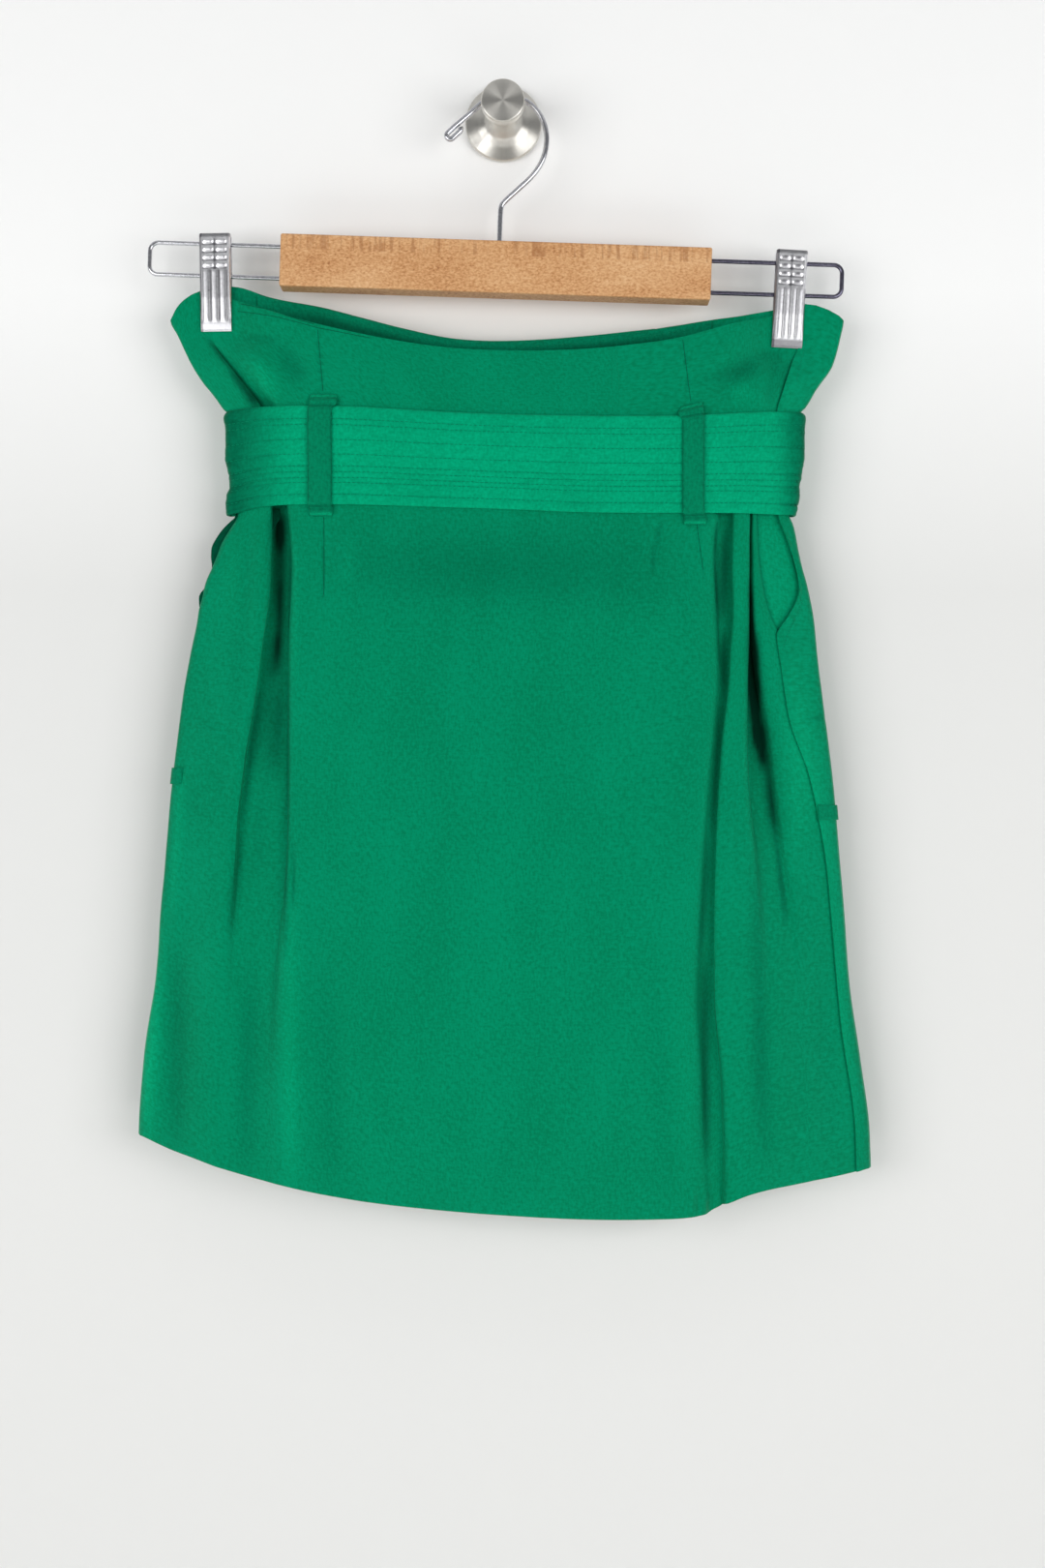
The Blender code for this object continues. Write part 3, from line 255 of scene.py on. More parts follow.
def backSection(z):
    a, b = pleatPoints("pleatA", z, 1), pleatPoints("pleatB", z, -1)
    c, d = pleatPoints("pleatC", z, -1), pleatPoints("pleatD", z, 1)
    end = readRow("sideSeam", "back", z)
    r = foldRadius(z, "left")
    start = readRow("body", "left", z)
    points = [(start, hangY - skirt["sideGap"])] + cornerPoints(z, "left", near)
    points += [besideFold(1.4 * r, z, "left", near)]
    points += [onLayer(lerp(start + 2.0 * r, a[0][0], t), z, near) for t in columns["wing"]]

    def put(pairs):
        points.extend(onLayer(x, z, near, depth) for x, depth in pairs)

    put(a)
    put([(lerp(a[2][0], b[2][0], t), lerp(a[2][1], b[2][1], t)) for t in columns["tuck"]])
    put(b[::-1])
    middle = c[2][0] - b[0][0]
    put([(b[0][0] + middle * t, 0.0) for t in columns["middle"]])
    wide = readRow("trough", "wide", z)
    put([(c[0][0] - wide * t, c[2][1] * k) for t, k in columns["trough"]])
    put(c[::-1])
    put([((c[0][0] + d[0][0]) / 2, 0.0)])
    put(d)
    root, deep = d[2]
    spread = easeIn(z, -236.0, -196.0)           # above the belt there is no lip, and the lap comes on slowly
    lip = max(min(readRow("lip", "x", z), end - 3.0), d[0][0] + lerp(*skirt["lipLap"], spread))
    for i, (x, k) in enumerate(((lerp(root, lip, 0.5), 1.0), (lip - 0.8, 0.97), (lip - 0.1, 0.5),
                                (lip + 0.9, 0.0), (lerp(lip, end, 0.55), -0.1), (end, 0.0))):
        lap = skirt["lap"] * (1 - pinched(x, z)) * lerp(1.0, columns["lap"][i], spread)
        put([(x, lerp(lap, max(deep, lap), k))])
    return points


def frontOverSection(z):
    edge = readRow("sideSeam", "front", z)
    turn = readRow("body", "right", z) - 1.3 * foldRadius(z, "right")
    held = pinched(edge, z)
    lift = readRow("sideSeam", "gape", z) * (1 - held) + skirt["heldLift"] * held
    points = [onLayer(lerp(edge, turn, t), z, near, -lift * (1 - t)) for t in (0.0, 0.25, 0.6)]
    points += roundFold(z, "right")
    scale = (readRow("body", "right", z) - columns["endInset"]) / columns["overHalf"]
    return points + [onLayer(x * scale, z, far) for x in columns["over"]]


def inset(x):                          # the inner front panel lies this far inside the outer one
    return skirt["underInset"] * easeIn(x, skirt["wrapEdge"] - 52.0, skirt["wrapEdge"] - 18.0)


def frontUnderSection(z):
    r = foldRadius(z, "left")
    leave = readRow("leftPocket", "leave", z)
    start = readRow("body", "left", z)
    folded = [(start, hangY + skirt["sideGap"])] + cornerPoints(z, "left", far)
    folded += [besideFold(1.4 * r, z, "left", far)]
    opened = [besideFold(leave + d, z, "left", far) for d in columns["opened"]]
    away = easeIn(leave, 0.0, 3.0)
    points = [(lerp(a[0], b[0], away), lerp(a[1], b[1], away)) for a, b in zip(folded, opened)]
    scale = (start + columns["endInset"]) / -columns["underHalf"]
    first = points[-1][0]
    for x in columns["under"]:
        x = max(x * scale, first + 0.6 * (x + 183.0))
        points.append(onLayer(x, z, far, inset(x)))
    return points


def facingSection(z):
    skin = skirt["clothWall"] / 2 + skirt["seamGap"] + skirt["facingWall"] / 2 + skirt["sewnGap"]
    return [onLayer(x, z, far, skin + inset(x) * (1 - easeIn(x, 94.0, 116.0))) for x in columns["facing"]]


def pocketRightSection(z):
    start = readRow("sideSeam", "back", z) - 1.2
    limit = readRow("body", "right", z) - foldRadius(z, "right") - 1.0
    end = max(min(readRow("sideSeam", "front", z) + 8.0, limit), start + 3.0)
    return [onLayer(lerp(start, end, t), z, near, lerp(3.1, 2.9, t)) for t in (0.0, 0.3, 0.65, 1.0)]


def pocketLeftSection(z):
    side = readRow("body", "left", z)
    out = side - readRow("leftPocket", "bulge", z) + 1.0
    xs = (out, lerp(out, side + 3.0, 0.5), side + 3.0, side + 8.0)
    points = [(x, hangY + skirt["pocketLift"]) for x in xs]
    return points + [besideFold(15.0, z, "left", far, 2.3), besideFold(24.0, z, "left", far, 2.4)]


def beltSection(z):
    out = -(skirt["clothWall"] / 2 + skirt["beltGap"] + skirt["beltWall"] / 2)
    over = out - skirt["beltWall"] - skirt["seamGap"]
    across = columns["belt"]
    points = [onLayer(x, z, far, out) for x in columns["beltEnd"]]
    points += [besideFold(d, z, "beltRight", far, out) for d in across[::-1][1:]]
    points += roundFold(z, "beltRight", out)[::-1]
    points += [besideFold(d, z, "beltRight", near, out) for d in across] + [onLayer(5.0, z, near, out)]
    points += [besideFold(d, z, "beltLeft", near, out) for d in across[::-1]] + roundFold(z, "beltLeft", out)
    points += [besideFold(d, z, "beltLeft", far, out) for d in across[:6]] + [onLayer(-60.0, z, far, out)]
    return points + [onLayer(x, z, far, over) for x in columns["beltLap"]]


def tabSection(z, end, start, stop):
    out = -(skirt["clothWall"] / 2 + skirt["tabGap"] + skirt["tabWall"] / 2)
    turn = 1.3 * (foldRadius(z, end) - out)
    first = [besideFold(lerp(start, turn, t), z, end, near, out) for t in (0.0, 0.5)]
    last = [besideFold(lerp(turn, stop, t), z, end, far, out) for t in (0.5, 1.0)]
    return first + roundFold(z, end, out) + last


# grids of points, and relief on them
def roundedRows(rows, samples=10):     # quadratic curves that each row's control polygon draws
    rows = np.asarray(rows, dtype=float)
    mids = (rows[:, :-1] + rows[:, 1:]) / 2
    ts = (np.arange(samples) / samples)[None, None, :, None]
    a, p, b = mids[:, :-1, None], rows[:, 1:-1, None], mids[:, 1:, None]
    curve = (1 - ts) ** 2 * a + 2 * ts * (1 - ts) * p + ts ** 2 * b
    return np.concatenate((rows[:, :1], curve.reshape(rows.shape[0], -1, 3), mids[:, -1:], rows[:, -1:]), axis=1)


def stepsOf(points, axis=0):
    return np.linalg.norm(np.diff(points, axis=axis), axis=-1)


def travelled(steps):                  # the way along a line to each of its points
    return np.concatenate(([0], np.cumsum(steps)))


def evenColumns(grid, count, focus=()):    # the same sheet with its columns evenly spaced along the cloth
    steps = stepsOf(grid, 1).mean(axis=0)
    middles = ((grid[:, 1:] + grid[:, :-1]) / 2).mean(axis=0)
    for x, half, extra in focus:       # and closer together round a seam
        steps = steps * (1 + extra * bell(middles[:, 0], x, half) * (middles[:, 1] < hangY))
    along = travelled(steps)
    place = np.interp(np.linspace(0, along[-1], count), along, np.arange(len(along)))
    low = np.minimum(place.astype(int), len(along) - 2)
    t = (place - low)[None, :, None]
    return grid[:, low] * (1 - t) + grid[:, low + 1] * t


panels = {"levels": np.arange(-104.0, -662.0, -2.0), "zoneLengths": (62.0, 61.0, 400.0),
          "firstGuess": (-120.0, -640.0), "passes": 14, "pull": 0.6}
levels = panels["levels"]


def panelGrid(section, topLine, hemLine, piece, count):
    controls = np.array([section(z) for z in levels])                # level, column, (x, y)

    def height(line, xs, guess):       # where a column meets a line that depends on x
        z = guess
        for turn in range(panels["passes"] if callable(line) else 0):
            z = lerp(z, line(float(np.interp(-z, -levels, xs))), panels["pull"])
        return z if callable(line) else line

    parts = []
    edges = (topLine, skirt["beltTop"], skirt["beltBottom"], hemLine)
    for high, low, length in zip(edges, edges[1:], panels["zoneLengths"]):
        rows = int(round(length / piece["rowStep"]))
        ts = np.linspace(0, 1, rows + (low is hemLine), endpoint=low is hemLine)
        zone = np.zeros((len(ts), controls.shape[1], 3))
        for j in range(controls.shape[1]):
            xs, ys = controls[:, j, 0], controls[:, j, 1]
            z = lerp(height(high, xs, panels["firstGuess"][0]), height(low, xs, panels["firstGuess"][1]), ts)
            zone[:, j] = np.stack([np.interp(-z, -levels, xs), np.interp(-z, -levels, ys), z], axis=1)
        parts.append(zone)
    return evenColumns(roundedRows(np.concatenate(parts)), count, piece.get("focus", ()))


def bandGrid(section, heightAt, rows, count):
    # a strip between two edge lines: heightAt(x, t) is the height at width x, t from the top edge to the bottom
    middle = section((heightAt(0.0, 0.0) + heightAt(0.0, 1.0)) / 2)
    grid = []
    for t in np.linspace(0.0, 1.0, rows):
        heights = [heightAt(x, t) for x, y in middle]
        grid.append([(*section(z)[j], z) for j, z in enumerate(heights)])
    return evenColumns(roundedRows(grid), count)


def gridNormals(grid, outward):
    normals = np.cross(np.gradient(grid, axis=1), np.gradient(grid, axis=0))
    return normals / np.maximum(np.linalg.norm(normals, axis=2, keepdims=True), 1e-9) * outward


def smoothStep(x, start, end):
    t = np.clip((x - start) / (end - start), 0.0, 1.0)
    return t * t * (3 - 2 * t)


def bell(x, at, width):                # 1 at a place, falling to 0 around it
    return np.exp(-((x - at) / width) ** 2)


def creaseRelief(x, z, rows):          # rows of (x1, z1, x2, z2, width, height): soft ridges, or troughs below 0
    total = np.zeros_like(x)
    for x1, z1, x2, z2, width, height in rows:
        dx, dz = x2 - x1, z2 - z1
        c = np.clip(((x - x1) * dx + (z - z1) * dz) / (dx * dx + dz * dz), 0.0, 1.0)
        away = np.hypot(x - x1 - c * dx, z - z1 - c * dz)
        fade = 0.35 + 0.65 * (1 - np.abs(2 * c - 1) ** 3)
        total += height * fade * bell(away, 0.0, width)
    return total


def cloudRelief(x, z, sizeX, sizeZ, seed):   # soft random waves, from -1 to 1
    flat = [noise.noise(Vector((a / sizeX + seed, b / sizeZ - seed, seed * 0.37)))
            for a, b in zip(x.ravel(), z.ravel())]
    return np.array(flat).reshape(x.shape)


def heldFlat(relief, x, z, piece):     # no relief in a clip's jaws or under the belt, and limits elsewhere
    inClip = np.array([[pinched(a, b) for a, b in zip(row, down)] for row, down in zip(x, z)])
    above, below = piece["underBelt"]
    covered = smoothStep(z, *above) * smoothStep(z, *below)
    return np.clip(relief * (1 - inClip) * (1 - covered), *piece["reliefSpan"])


# making meshes
def deselectAll():
    if bpy.context.object and bpy.context.object.mode != "OBJECT":
        bpy.ops.object.mode_set(mode="OBJECT")
    bpy.ops.object.select_all(action="DESELECT")


def choose(piece):                     # makes it the one object that the next operators work on
    deselectAll()
    bpy.context.view_layer.objects.active = piece
    piece.select_set(True)


def weld(threshold, openEnds=False):   # joins what meets, and closes open ends
    bpy.ops.object.mode_set(mode="EDIT")
    bpy.ops.mesh.select_all(action="SELECT")
    bpy.ops.mesh.remove_doubles(threshold=threshold)
    if openEnds:
        bpy.ops.mesh.select_all(action="DESELECT")
        bpy.ops.mesh.select_non_manifold()
        bpy.ops.mesh.edge_face_add()
        bpy.ops.mesh.select_all(action="SELECT")
    bpy.ops.mesh.normals_make_consistent(inside=False)
    bpy.ops.object.mode_set(mode="OBJECT")


def addShell(piece, name, wall):
    shell = piece.modifiers.new(name, "SOLIDIFY")
    shell.thickness, shell.offset = wall * mm, 0.0


def addBevel(piece, name, width, segments, angle):
    edge = piece.modifiers.new(name, "BEVEL")
    edge.width, edge.segments = width * mm, segments
    edge.limit_method, edge.angle_limit = "ANGLE", math.radians(angle)


def gridPiece(name, grid, uvs=None, shade=None):   # a primitive grid whose points are put where the rows say
    down, across = (n - 1 for n in grid.shape[:2])
    deselectAll()
    bpy.ops.mesh.primitive_grid_add(x_subdivisions=across, y_subdivisions=down, size=2.0, calc_uvs=True)
    piece = bpy.context.object
    piece.name = piece.data.name = name
    mesh = piece.data
    flat = np.empty(len(mesh.vertices) * 3, dtype=np.float32)
    mesh.vertices.foreach_get("co", flat)
    flat = flat.reshape(-1, 3)
    column = np.round((flat[:, 0] + 1) / 2 * across).astype(int)
    row = np.round((1 - flat[:, 1]) / 2 * down).astype(int)
    mesh.vertices.foreach_set("co", (grid[row, column] * mm).astype(np.float32).ravel())
    if shade is not None:              # painted shade for its material, and painted light where below 0
        depth = mesh.attributes.new("foldShade", "FLOAT", "POINT")
        depth.data.foreach_set("value", shade[row, column].astype(np.float32))
    if uvs is None:                    # metres along the cloth: across in u, down in v
        u, v = (travelled(stepsOf(grid, axis).mean(axis=1 - axis)) * mm for axis in (1, 0))
        uvs = np.stack(np.meshgrid(u, -v), axis=2)
    loops = np.empty(len(mesh.loops), dtype=np.int32)
    mesh.loops.foreach_get("vertex_index", loops)
    layer = mesh.uv_layers.active
    layer.name = "alongCloth"
    layer.data.foreach_set("uv", uvs[row[loops], column[loops]].astype(np.float32).ravel())
    mesh.update()
    return piece


def finishPiece(piece, look, angle):
    choose(piece)
    bpy.ops.object.transform_apply(location=True, rotation=True, scale=True)
    piece.data.materials.clear()
    piece.data.materials.append(look)
    bpy.ops.object.shade_smooth_by_angle(angle=math.radians(angle), keep_sharp_edges=False)
    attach(piece, "root")


def closePiece(piece, look, angle, node):    # applies the modifiers, and stands for a CAD node
    choose(piece)
    for modifier in list(piece.modifiers):
        bpy.ops.object.modifier_apply(modifier=modifier.name)
    finishPiece(piece, look, angle)
    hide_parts(node)
    return piece


# limits of the painted shade, and of the painted light below 0
shadeSpan = (-0.6, 0.985)


def clothPiece(name, grid, wall, look, softEdge, shade, node):
    piece = gridPiece(name, grid, shade=None if shade is None else np.clip(shade, *shadeSpan))
    addShell(piece, "shell", wall)
    addBevel(piece, "turned edge", softEdge, 2, 60)        # the turned edge is round
    return closePiece(piece, look, 50, node)


# materials
def linear(hexColour):                 # sRGB hex to linear red, green, blue
    channels = [int(hexColour[i:i + 2], 16) / 255 for i in (1, 3, 5)]
    return [c / 12.92 if c <= 0.04045 else ((c + 0.055) / 1.055) ** 2.4 for c in channels]


def newMaterial(name):
    made = bpy.data.materials.new(name)
    made.use_nodes = True
    return made, made.node_tree.nodes["Principled BSDF"]


def setNode(material, node, settings=None, links=None):
    # settings: a node's properties by name, socket values by "in:socket", and a ramp's stops;
    # links: input socket -> (node, output)
    for key, value in (settings or {}).items():
        if key == "stops":
            elements = node.color_ramp.elements
            while len(elements) < len(value):
                elements.new(0.5)
            for element, (place, colour) in zip(elements, value):
                element.position = place
                element.color = (*linear(colour), 1.0)
        elif key.startswith("in:"):
            socket = key[3:]
            node.inputs[int(socket) if socket.isdigit() else socket].default_value = value
        else:
            setattr(node, key, value)
    for socket, (source, output) in (links or {}).items():
        material.node_tree.links.new(source.outputs[output], node.inputs[socket])
    return node


def addNode(material, kind, settings=None, links=None):
    return setNode(material, material.node_tree.nodes.new("ShaderNode" + kind), settings, links)


def crepeSatin(name, light, dark):
    # satin-backed crepe of viscose: matt side out, a fine uneven weave with slubs along the weft, a soft sheen
    material, shader = newMaterial(name)
    uv = addNode(material, "UVMap", {"uv_map": "alongCloth"})
    # threads are 0.25 mm apart, too fine to show: drawn as the 1.4 mm grain that they bunch up into
    slubMap = addNode(material, "Mapping", {"in:Scale": (330, 720, 1)}, {"Vector": (uv, "UV")})
    slubs = addNode(material, "TexNoise", {"in:Scale": 1.0, "in:Detail": 3.0, "in:Roughness": 0.6},
                    {"Vector": (slubMap, "Vector")})
    warpMap = addNode(material, "Mapping", {"in:Scale": (760, 340, 1), "in:Rotation": (0, 0, 0.35)},
                      {"Vector": (uv, "UV")})
    warp = addNode(material, "TexNoise", {"in:Scale": 1.0, "in:Detail": 2.0},
                   {"Vector": (warpMap, "Vector")})
    weave = addNode(material, "Math", {"operation": "ADD"}, {0: (slubs, "Fac"), 1: (warp, "Fac")})
    patchMap = addNode(material, "Mapping", {"in:Scale": (28, 11, 1)}, {"Vector": (uv, "UV")})
    patches = addNode(material, "TexNoise", {"in:Scale": 1.0, "in:Detail": 4.0, "in:Roughness": 0.55},
                      {"Vector": (patchMap, "Vector")})
    fine = addNode(material, "MapRange",
                   {"in:From Min": 0.7, "in:From Max": 1.3, "in:To Min": -0.30, "in:To Max": 0.30},
                   {"Value": (weave, "Value")})
    calm = addNode(material, "MapRange",
                   {"in:From Min": 0.3, "in:From Max": 0.7, "in:To Min": 0.40, "in:To Max": 0.60},
                   {"Value": (patches, "Fac")})
    tone = addNode(material, "Math", {"operation": "ADD"}, {0: (fine, "Result"), 1: (calm, "Result")})
    ramp = addNode(material, "ValToRGB", {"stops": ((0.28, dark), (0.72, light))},
                   {"Fac": (tone, "Value")})
    # painted shade: cloth deep in a fold is darkened towards this colour for what little light gets there, more than
    # a thin solid fold shows
    fold = addNode(material, "Attribute", {"attribute_name": "foldShade"})
    colour = addNode(material, "Mix", {"data_type": "RGBA", "in:7": (*linear("#010d07"), 1.0)},
                     {0: (fold, "Fac"), 6: (ramp, "Color")})
    colour.clamp_factor = False        # painted light: a little below 0 the colour is lightened, where the cloth turns to a light
    bump = addNode(material, "Bump", {"in:Strength": 0.22, "in:Distance": 0.00012},
                   {"Height": (weave, "Value")})
    setNode(material, shader,
            {"in:Roughness": 0.5, "in:IOR": 1.45, "in:Specular IOR Level": 0.42,
             "in:Specular Tint": (*linear("#1fae83"), 1.0), "in:Sheen Weight": 0.18, "in:Sheen Roughness": 0.45,
             "in:Sheen Tint": (*linear("#3fd0a0"), 1.0)},
            {"Base Color": (colour, 2), "Normal": (bump, "Normal")})
    return material


def threadMaterial(name, dark, light):
    # polyester sewing thread, a tight two-ply twist: a little glossier than the cloth
    material, shader = newMaterial(name)
    where = addNode(material, "TexCoord")
    twist = addNode(material, "TexNoise", {"in:Scale": 2500.0, "in:Detail": 1.0},
                    {"Vector": (where, "Object")})
    ramp = addNode(material, "ValToRGB", {"stops": ((0.3, dark), (0.7, light))}, {"Fac": (twist, "Fac")})
    setNode(material, shader, {"in:Roughness": 0.42, "in:Specular Tint": (*linear("#1fae83"), 1.0)},
            {"Base Color": (ramp, "Color")})
    return material


def beechMaterial():
    # steamed beech, planed and oiled: short dark ray flecks along the grain on a warm ground
    material, shader = newMaterial("beech, oiled")
    where = addNode(material, "TexCoord")
    slant = (0, -0.033, 0)             # the bar hangs so much askew
    fleckMap = addNode(material, "Mapping", {"in:Scale": (560, 560, 900), "in:Rotation": slant},
                       {"Vector": (where, "Object")})
    flecks = addNode(material, "TexNoise", {"in:Scale": 1.0, "in:Detail": 3.0, "in:Roughness": 0.6},
                     {"Vector": (fleckMap, "Vector")})
    cloudMap = addNode(material, "Mapping", {"in:Scale": (18, 60, 60), "in:Rotation": slant},
                       {"Vector": (where, "Object")})
    clouds = addNode(material, "TexNoise", {"in:Scale": 1.0, "in:Detail": 3.0},
                     {"Vector": (cloudMap, "Vector")})
    mixed = addNode(material, "Math", {"operation": "MULTIPLY_ADD", "in:1": 0.45},
                    {0: (clouds, "Fac"), 2: (flecks, "Fac")})
    ramp = addNode(material, "ValToRGB",
                   {"stops": ((0.42, "#955c33"), (0.60, "#c58e5c"), (0.80, "#d9a877"), (1.0, "#e6be90"))},
                   {"Fac": (mixed, "Value")})
    # the top 8 mm show the wood side on: its rays stand upright there, 3 to 5 mm apart like a comb
    alongBar = addNode(material, "Mapping", {"in:Rotation": slant}, {"Vector": (where, "Object")})
    apart = addNode(material, "SeparateXYZ", links={"Vector": (alongBar, "Vector")})
    strip = addNode(material, "MapRange", {"in:From Min": -0.0892, "in:From Max": -0.0880},
                    {"Value": (apart, "Z")})
    combMap = addNode(material, "Mapping", {"in:Scale": (330, 30, 30), "in:Rotation": slant},
                      {"Vector": (where, "Object")})
    comb = addNode(material, "TexNoise", {"in:Scale": 1.0, "in:Detail": 2.0}, {"Vector": (combMap, "Vector")})
    teeth = addNode(material, "MapRange", {"in:From Min": 0.50, "in:From Max": 0.62, "in:To Max": 0.5},
                    {"Value": (comb, "Fac")})
    combed = addNode(material, "Math", {"operation": "MULTIPLY"},
                     {0: (teeth, "Result"), 1: (strip, "Result")})
    wood = addNode(material, "Mix", {"data_type": "RGBA", "in:7": (*linear("#9a6237"), 1.0)},
                   {0: (combed, "Value"), 6: (ramp, "Color")})
    bump = addNode(material, "Bump", {"in:Strength": 0.25, "in:Distance": 0.00015},
                   {"Height": (flecks, "Fac")})
    setNode(material, shader, {"in:Roughness": 0.5, "in:IOR": 1.45, "in:Specular IOR Level": 0.35},
            {"Base Color": (wood, 2), "Normal": (bump, "Normal")})
    return material


def chromeMaterial(name, colour, brighter, roughness):
    # bright nickel-chrome plating on pressed steel and wire: mirror-like, with faint drawing marks
    material, shader = newMaterial(name)
    where = addNode(material, "TexCoord")
    marks = addNode(material, "TexNoise", {"in:Scale": 900.0, "in:Detail": 2.0},
                    {"Vector": (where, "Object")})
    rough = addNode(material, "MapRange", {"in:To Min": roughness * 0.7, "in:To Max": roughness * 1.5},
                    {"Value": (marks, "Fac")})
    ramp = addNode(material, "ValToRGB", {"stops": ((0.3, colour), (0.8, brighter))},
                   {"Fac": (marks, "Fac")})
    # painted reflection: the plating is darkened towards grey in the pressed grooves, at the rim and on one side, for
    # the dark room that they mirror
    fold = addNode(material, "Attribute", {"attribute_name": "foldShade"})
    plate = addNode(material, "Mix", {"data_type": "RGBA", "in:7": (*linear("#2e2b36"), 1.0)},
                    {0: (fold, "Fac"), 6: (ramp, "Color")})
    setNode(material, shader, {"in:Metallic": 1.0}, {"Base Color": (plate, 2), "Roughness": (rough, "Result")})
    return material


def turnedSteelMaterial():
    # stainless steel turned on a lathe: fine rings round the axis, which draw bright rays out of the middle
    material, shader = newMaterial("stainless steel, turned")
    uv = addNode(material, "UVMap", {"uv_map": "alongCloth"})
    ringMap = addNode(material, "Mapping", {"in:Scale": (6, 2400, 1)}, {"Vector": (uv, "UV")})
    rings = addNode(material, "TexNoise", {"in:Scale": 1.0, "in:Detail": 3.0},
                    {"Vector": (ringMap, "Vector")})
    rough = addNode(material, "MapRange", {"in:To Min": 0.24, "in:To Max": 0.38},
                    {"Value": (rings, "Fac")})
    ramp = addNode(material, "ValToRGB", {"stops": ((0.3, "#d3d0c8"), (0.75, "#ece9e2"))},
                   {"Fac": (rings, "Fac")})
    bump = addNode(material, "Bump", {"in:Strength": 0.3, "in:Distance": 0.00004},
                   {"Height": (rings, "Fac")})
    tangent = addNode(material, "Tangent", {"direction_type": "UV_MAP", "uv_map": "alongCloth"})
    setNode(material, shader, {"in:Metallic": 1.0, "in:Anisotropic": 0.85},
            {"Base Color": (ramp, "Color"), "Roughness": (rough, "Result"), "Normal": (bump, "Normal"),
             "Tangent": (tangent, "Tangent")})
    return material


clothLook = crepeSatin("crepe satin, green", "#038b63", "#037851")
beltLook = crepeSatin("crepe satin, belt", "#03a476", "#029165")
loopLook = crepeSatin("crepe satin, loops", "#03825b", "#036e4c")
# painted shade: a darker copy of the cloth, for the insides and facings that little light reaches
shadedInsideLook = crepeSatin("crepe satin, inside, painted shade", "#04825d", "#036e4d")
# partly painted shade: the green thread is darkened so that the stitches show as the shade in their holes
threadLook = threadMaterial("sewing thread, green", "#026e4e", "#048860")
dotLook = threadMaterial("sewing thread, undyed", "#8f8a66", "#b5a784")
seamShadeLook = threadMaterial("sewing thread, dark, painted seam shade", "#02402b", "#035138")
beechLook = beechMaterial()
wireLook = chromeMaterial("chrome plate, wire", "#b9bac0", "#e6e6ea", 0.12)
# painted reflection: a darker copy of the wire's chrome for the right arm, for the dark it mirrors
shadedWireLook = chromeMaterial("chrome plate, wire in painted shade", "#5d5a6c", "#7c7a88", 0.2)
clipLook = chromeMaterial("chrome plate, pressed", "#e8e7eb", "#f7f7f9", 0.3)
steelLook = turnedSteelMaterial()
print("materials made")

# the camera, in mm, and its picture of 1080 by 1620 pixels: places are read off the photograph
photo = {"camera": (11.5, -1100.0, -399.2), "middle": (540.0, 810.0), "pixelLens": 1877.0, "clothOut": 35.0}


def fromPhoto(u, v):                   # x and z of what lies as far out from the wall as the back panel
    scale = (-photo["camera"][1] - photo["clothOut"]) / photo["pixelLens"]
    return photo["camera"][0] + (u - photo["middle"][0]) * scale, \
        photo["camera"][2] + (photo["middle"][1] - v) * scale


def photoRelief(grid, rows):           # creases by their two ends in the photograph, width and height in mm
    made = [(*fromPhoto(u1, v1), *fromPhoto(u2, v2), width, height) for u1, v1, u2, v2, width, height in rows]
    return creaseRelief(grid[:, :, 0], grid[:, :, 2], made)


def relieved(grid, outward, relief):
    return grid + gridNormals(grid, outward) * relief[:, :, None]


def showSize(name, grid):
    across, down = stepsOf(grid, 1).sum(axis=1), stepsOf(grid, 0).sum(axis=0)
    a = np.linalg.norm(np.cross(grid[1:, :-1] - grid[:-1, :-1], grid[:-1, 1:] - grid[:-1, :-1]), axis=2)
    print("%s: across %.0f to %.0f, down %.0f to %.0f mm, area %.4f m2"
          % (name, across.min(), across.max(), down.min(), down.max(), a.sum() * 1e-6))


# stitches: one small thread lump, copied along lines on the cloth
def makeStitch():
    deselectAll()
    bpy.ops.mesh.primitive_uv_sphere_add(segments=6, ring_count=4, radius=0.5)
    lump = bpy.context.object
    points = np.array([v.co[:] for v in lump.data.vertices])
    faces = [list(p.vertices) for p in lump.data.polygons]
    bpy.data.objects.remove(lump, do_unlink=True)
    return points[:, [2, 0, 1]], faces            # long way along x


stitchPoints, stitchFaces = makeStitch()


def stitchPiece(name, runs, look, width, height, pitch, length):
    # runs: polylines (points, outward normals) in mm, on the cloth's skin
    points, faces = [], []
    for line, normals in runs:
        line, normals = np.asarray(line), np.asarray(normals)
        along = travelled(stepsOf(line))

        def at(values, s):
            return np.array([np.interp(s, along, values[:, i]) for i in range(3)])

        for k in range(int(along[-1] / pitch)):
            s = (k + 0.5) * pitch
            x = at(line, s + 0.5) - at(line, s - 0.5)
            x = x / max(np.linalg.norm(x), 1e-9)
            z = at(normals, s)
            z = z - x * float(np.dot(z, x))
            z /= max(np.linalg.norm(z), 1e-9)
            faces += [[i + len(points) * len(stitchPoints) for i in face] for face in stitchFaces]
            points.append(at(line, s) + stitchPoints * np.array([length, width, height])
                          @ np.array([x, np.cross(z, x), z]))
    mesh = bpy.data.meshes.new(name)
    mesh.from_pydata((np.concatenate(points) * mm).tolist(), [], faces)
    piece = bpy.data.objects.new(name, mesh)
    bpy.context.scene.collection.objects.link(piece)
    finishPiece(piece, look, 180)
    return piece


def lineOn(piece, spots, step=1.2, lift=0.05):   # a line of photo places, laid on the side that the camera sees
    ends = [fromPhoto(u, v) for u, v in spots]
    points, normals = [], []
    for (x1, z1), (x2, z2) in zip(ends, ends[1:]):
        count = max(int(math.hypot(x2 - x1, z2 - z1) / step), 1)
        for k in range(count):
            x, z = lerp(x1, x2, k / count), lerp(z1, z2, k / count)
            hit, place, normal, index = piece.ray_cast(Vector((x * mm, -0.3, z * mm)), Vector((0, 1, 0)))
            if hit:
                points.append([place[i] / mm + normal[i] * lift for i in range(3)])
                normals.append(list(normal))
    return points, normals


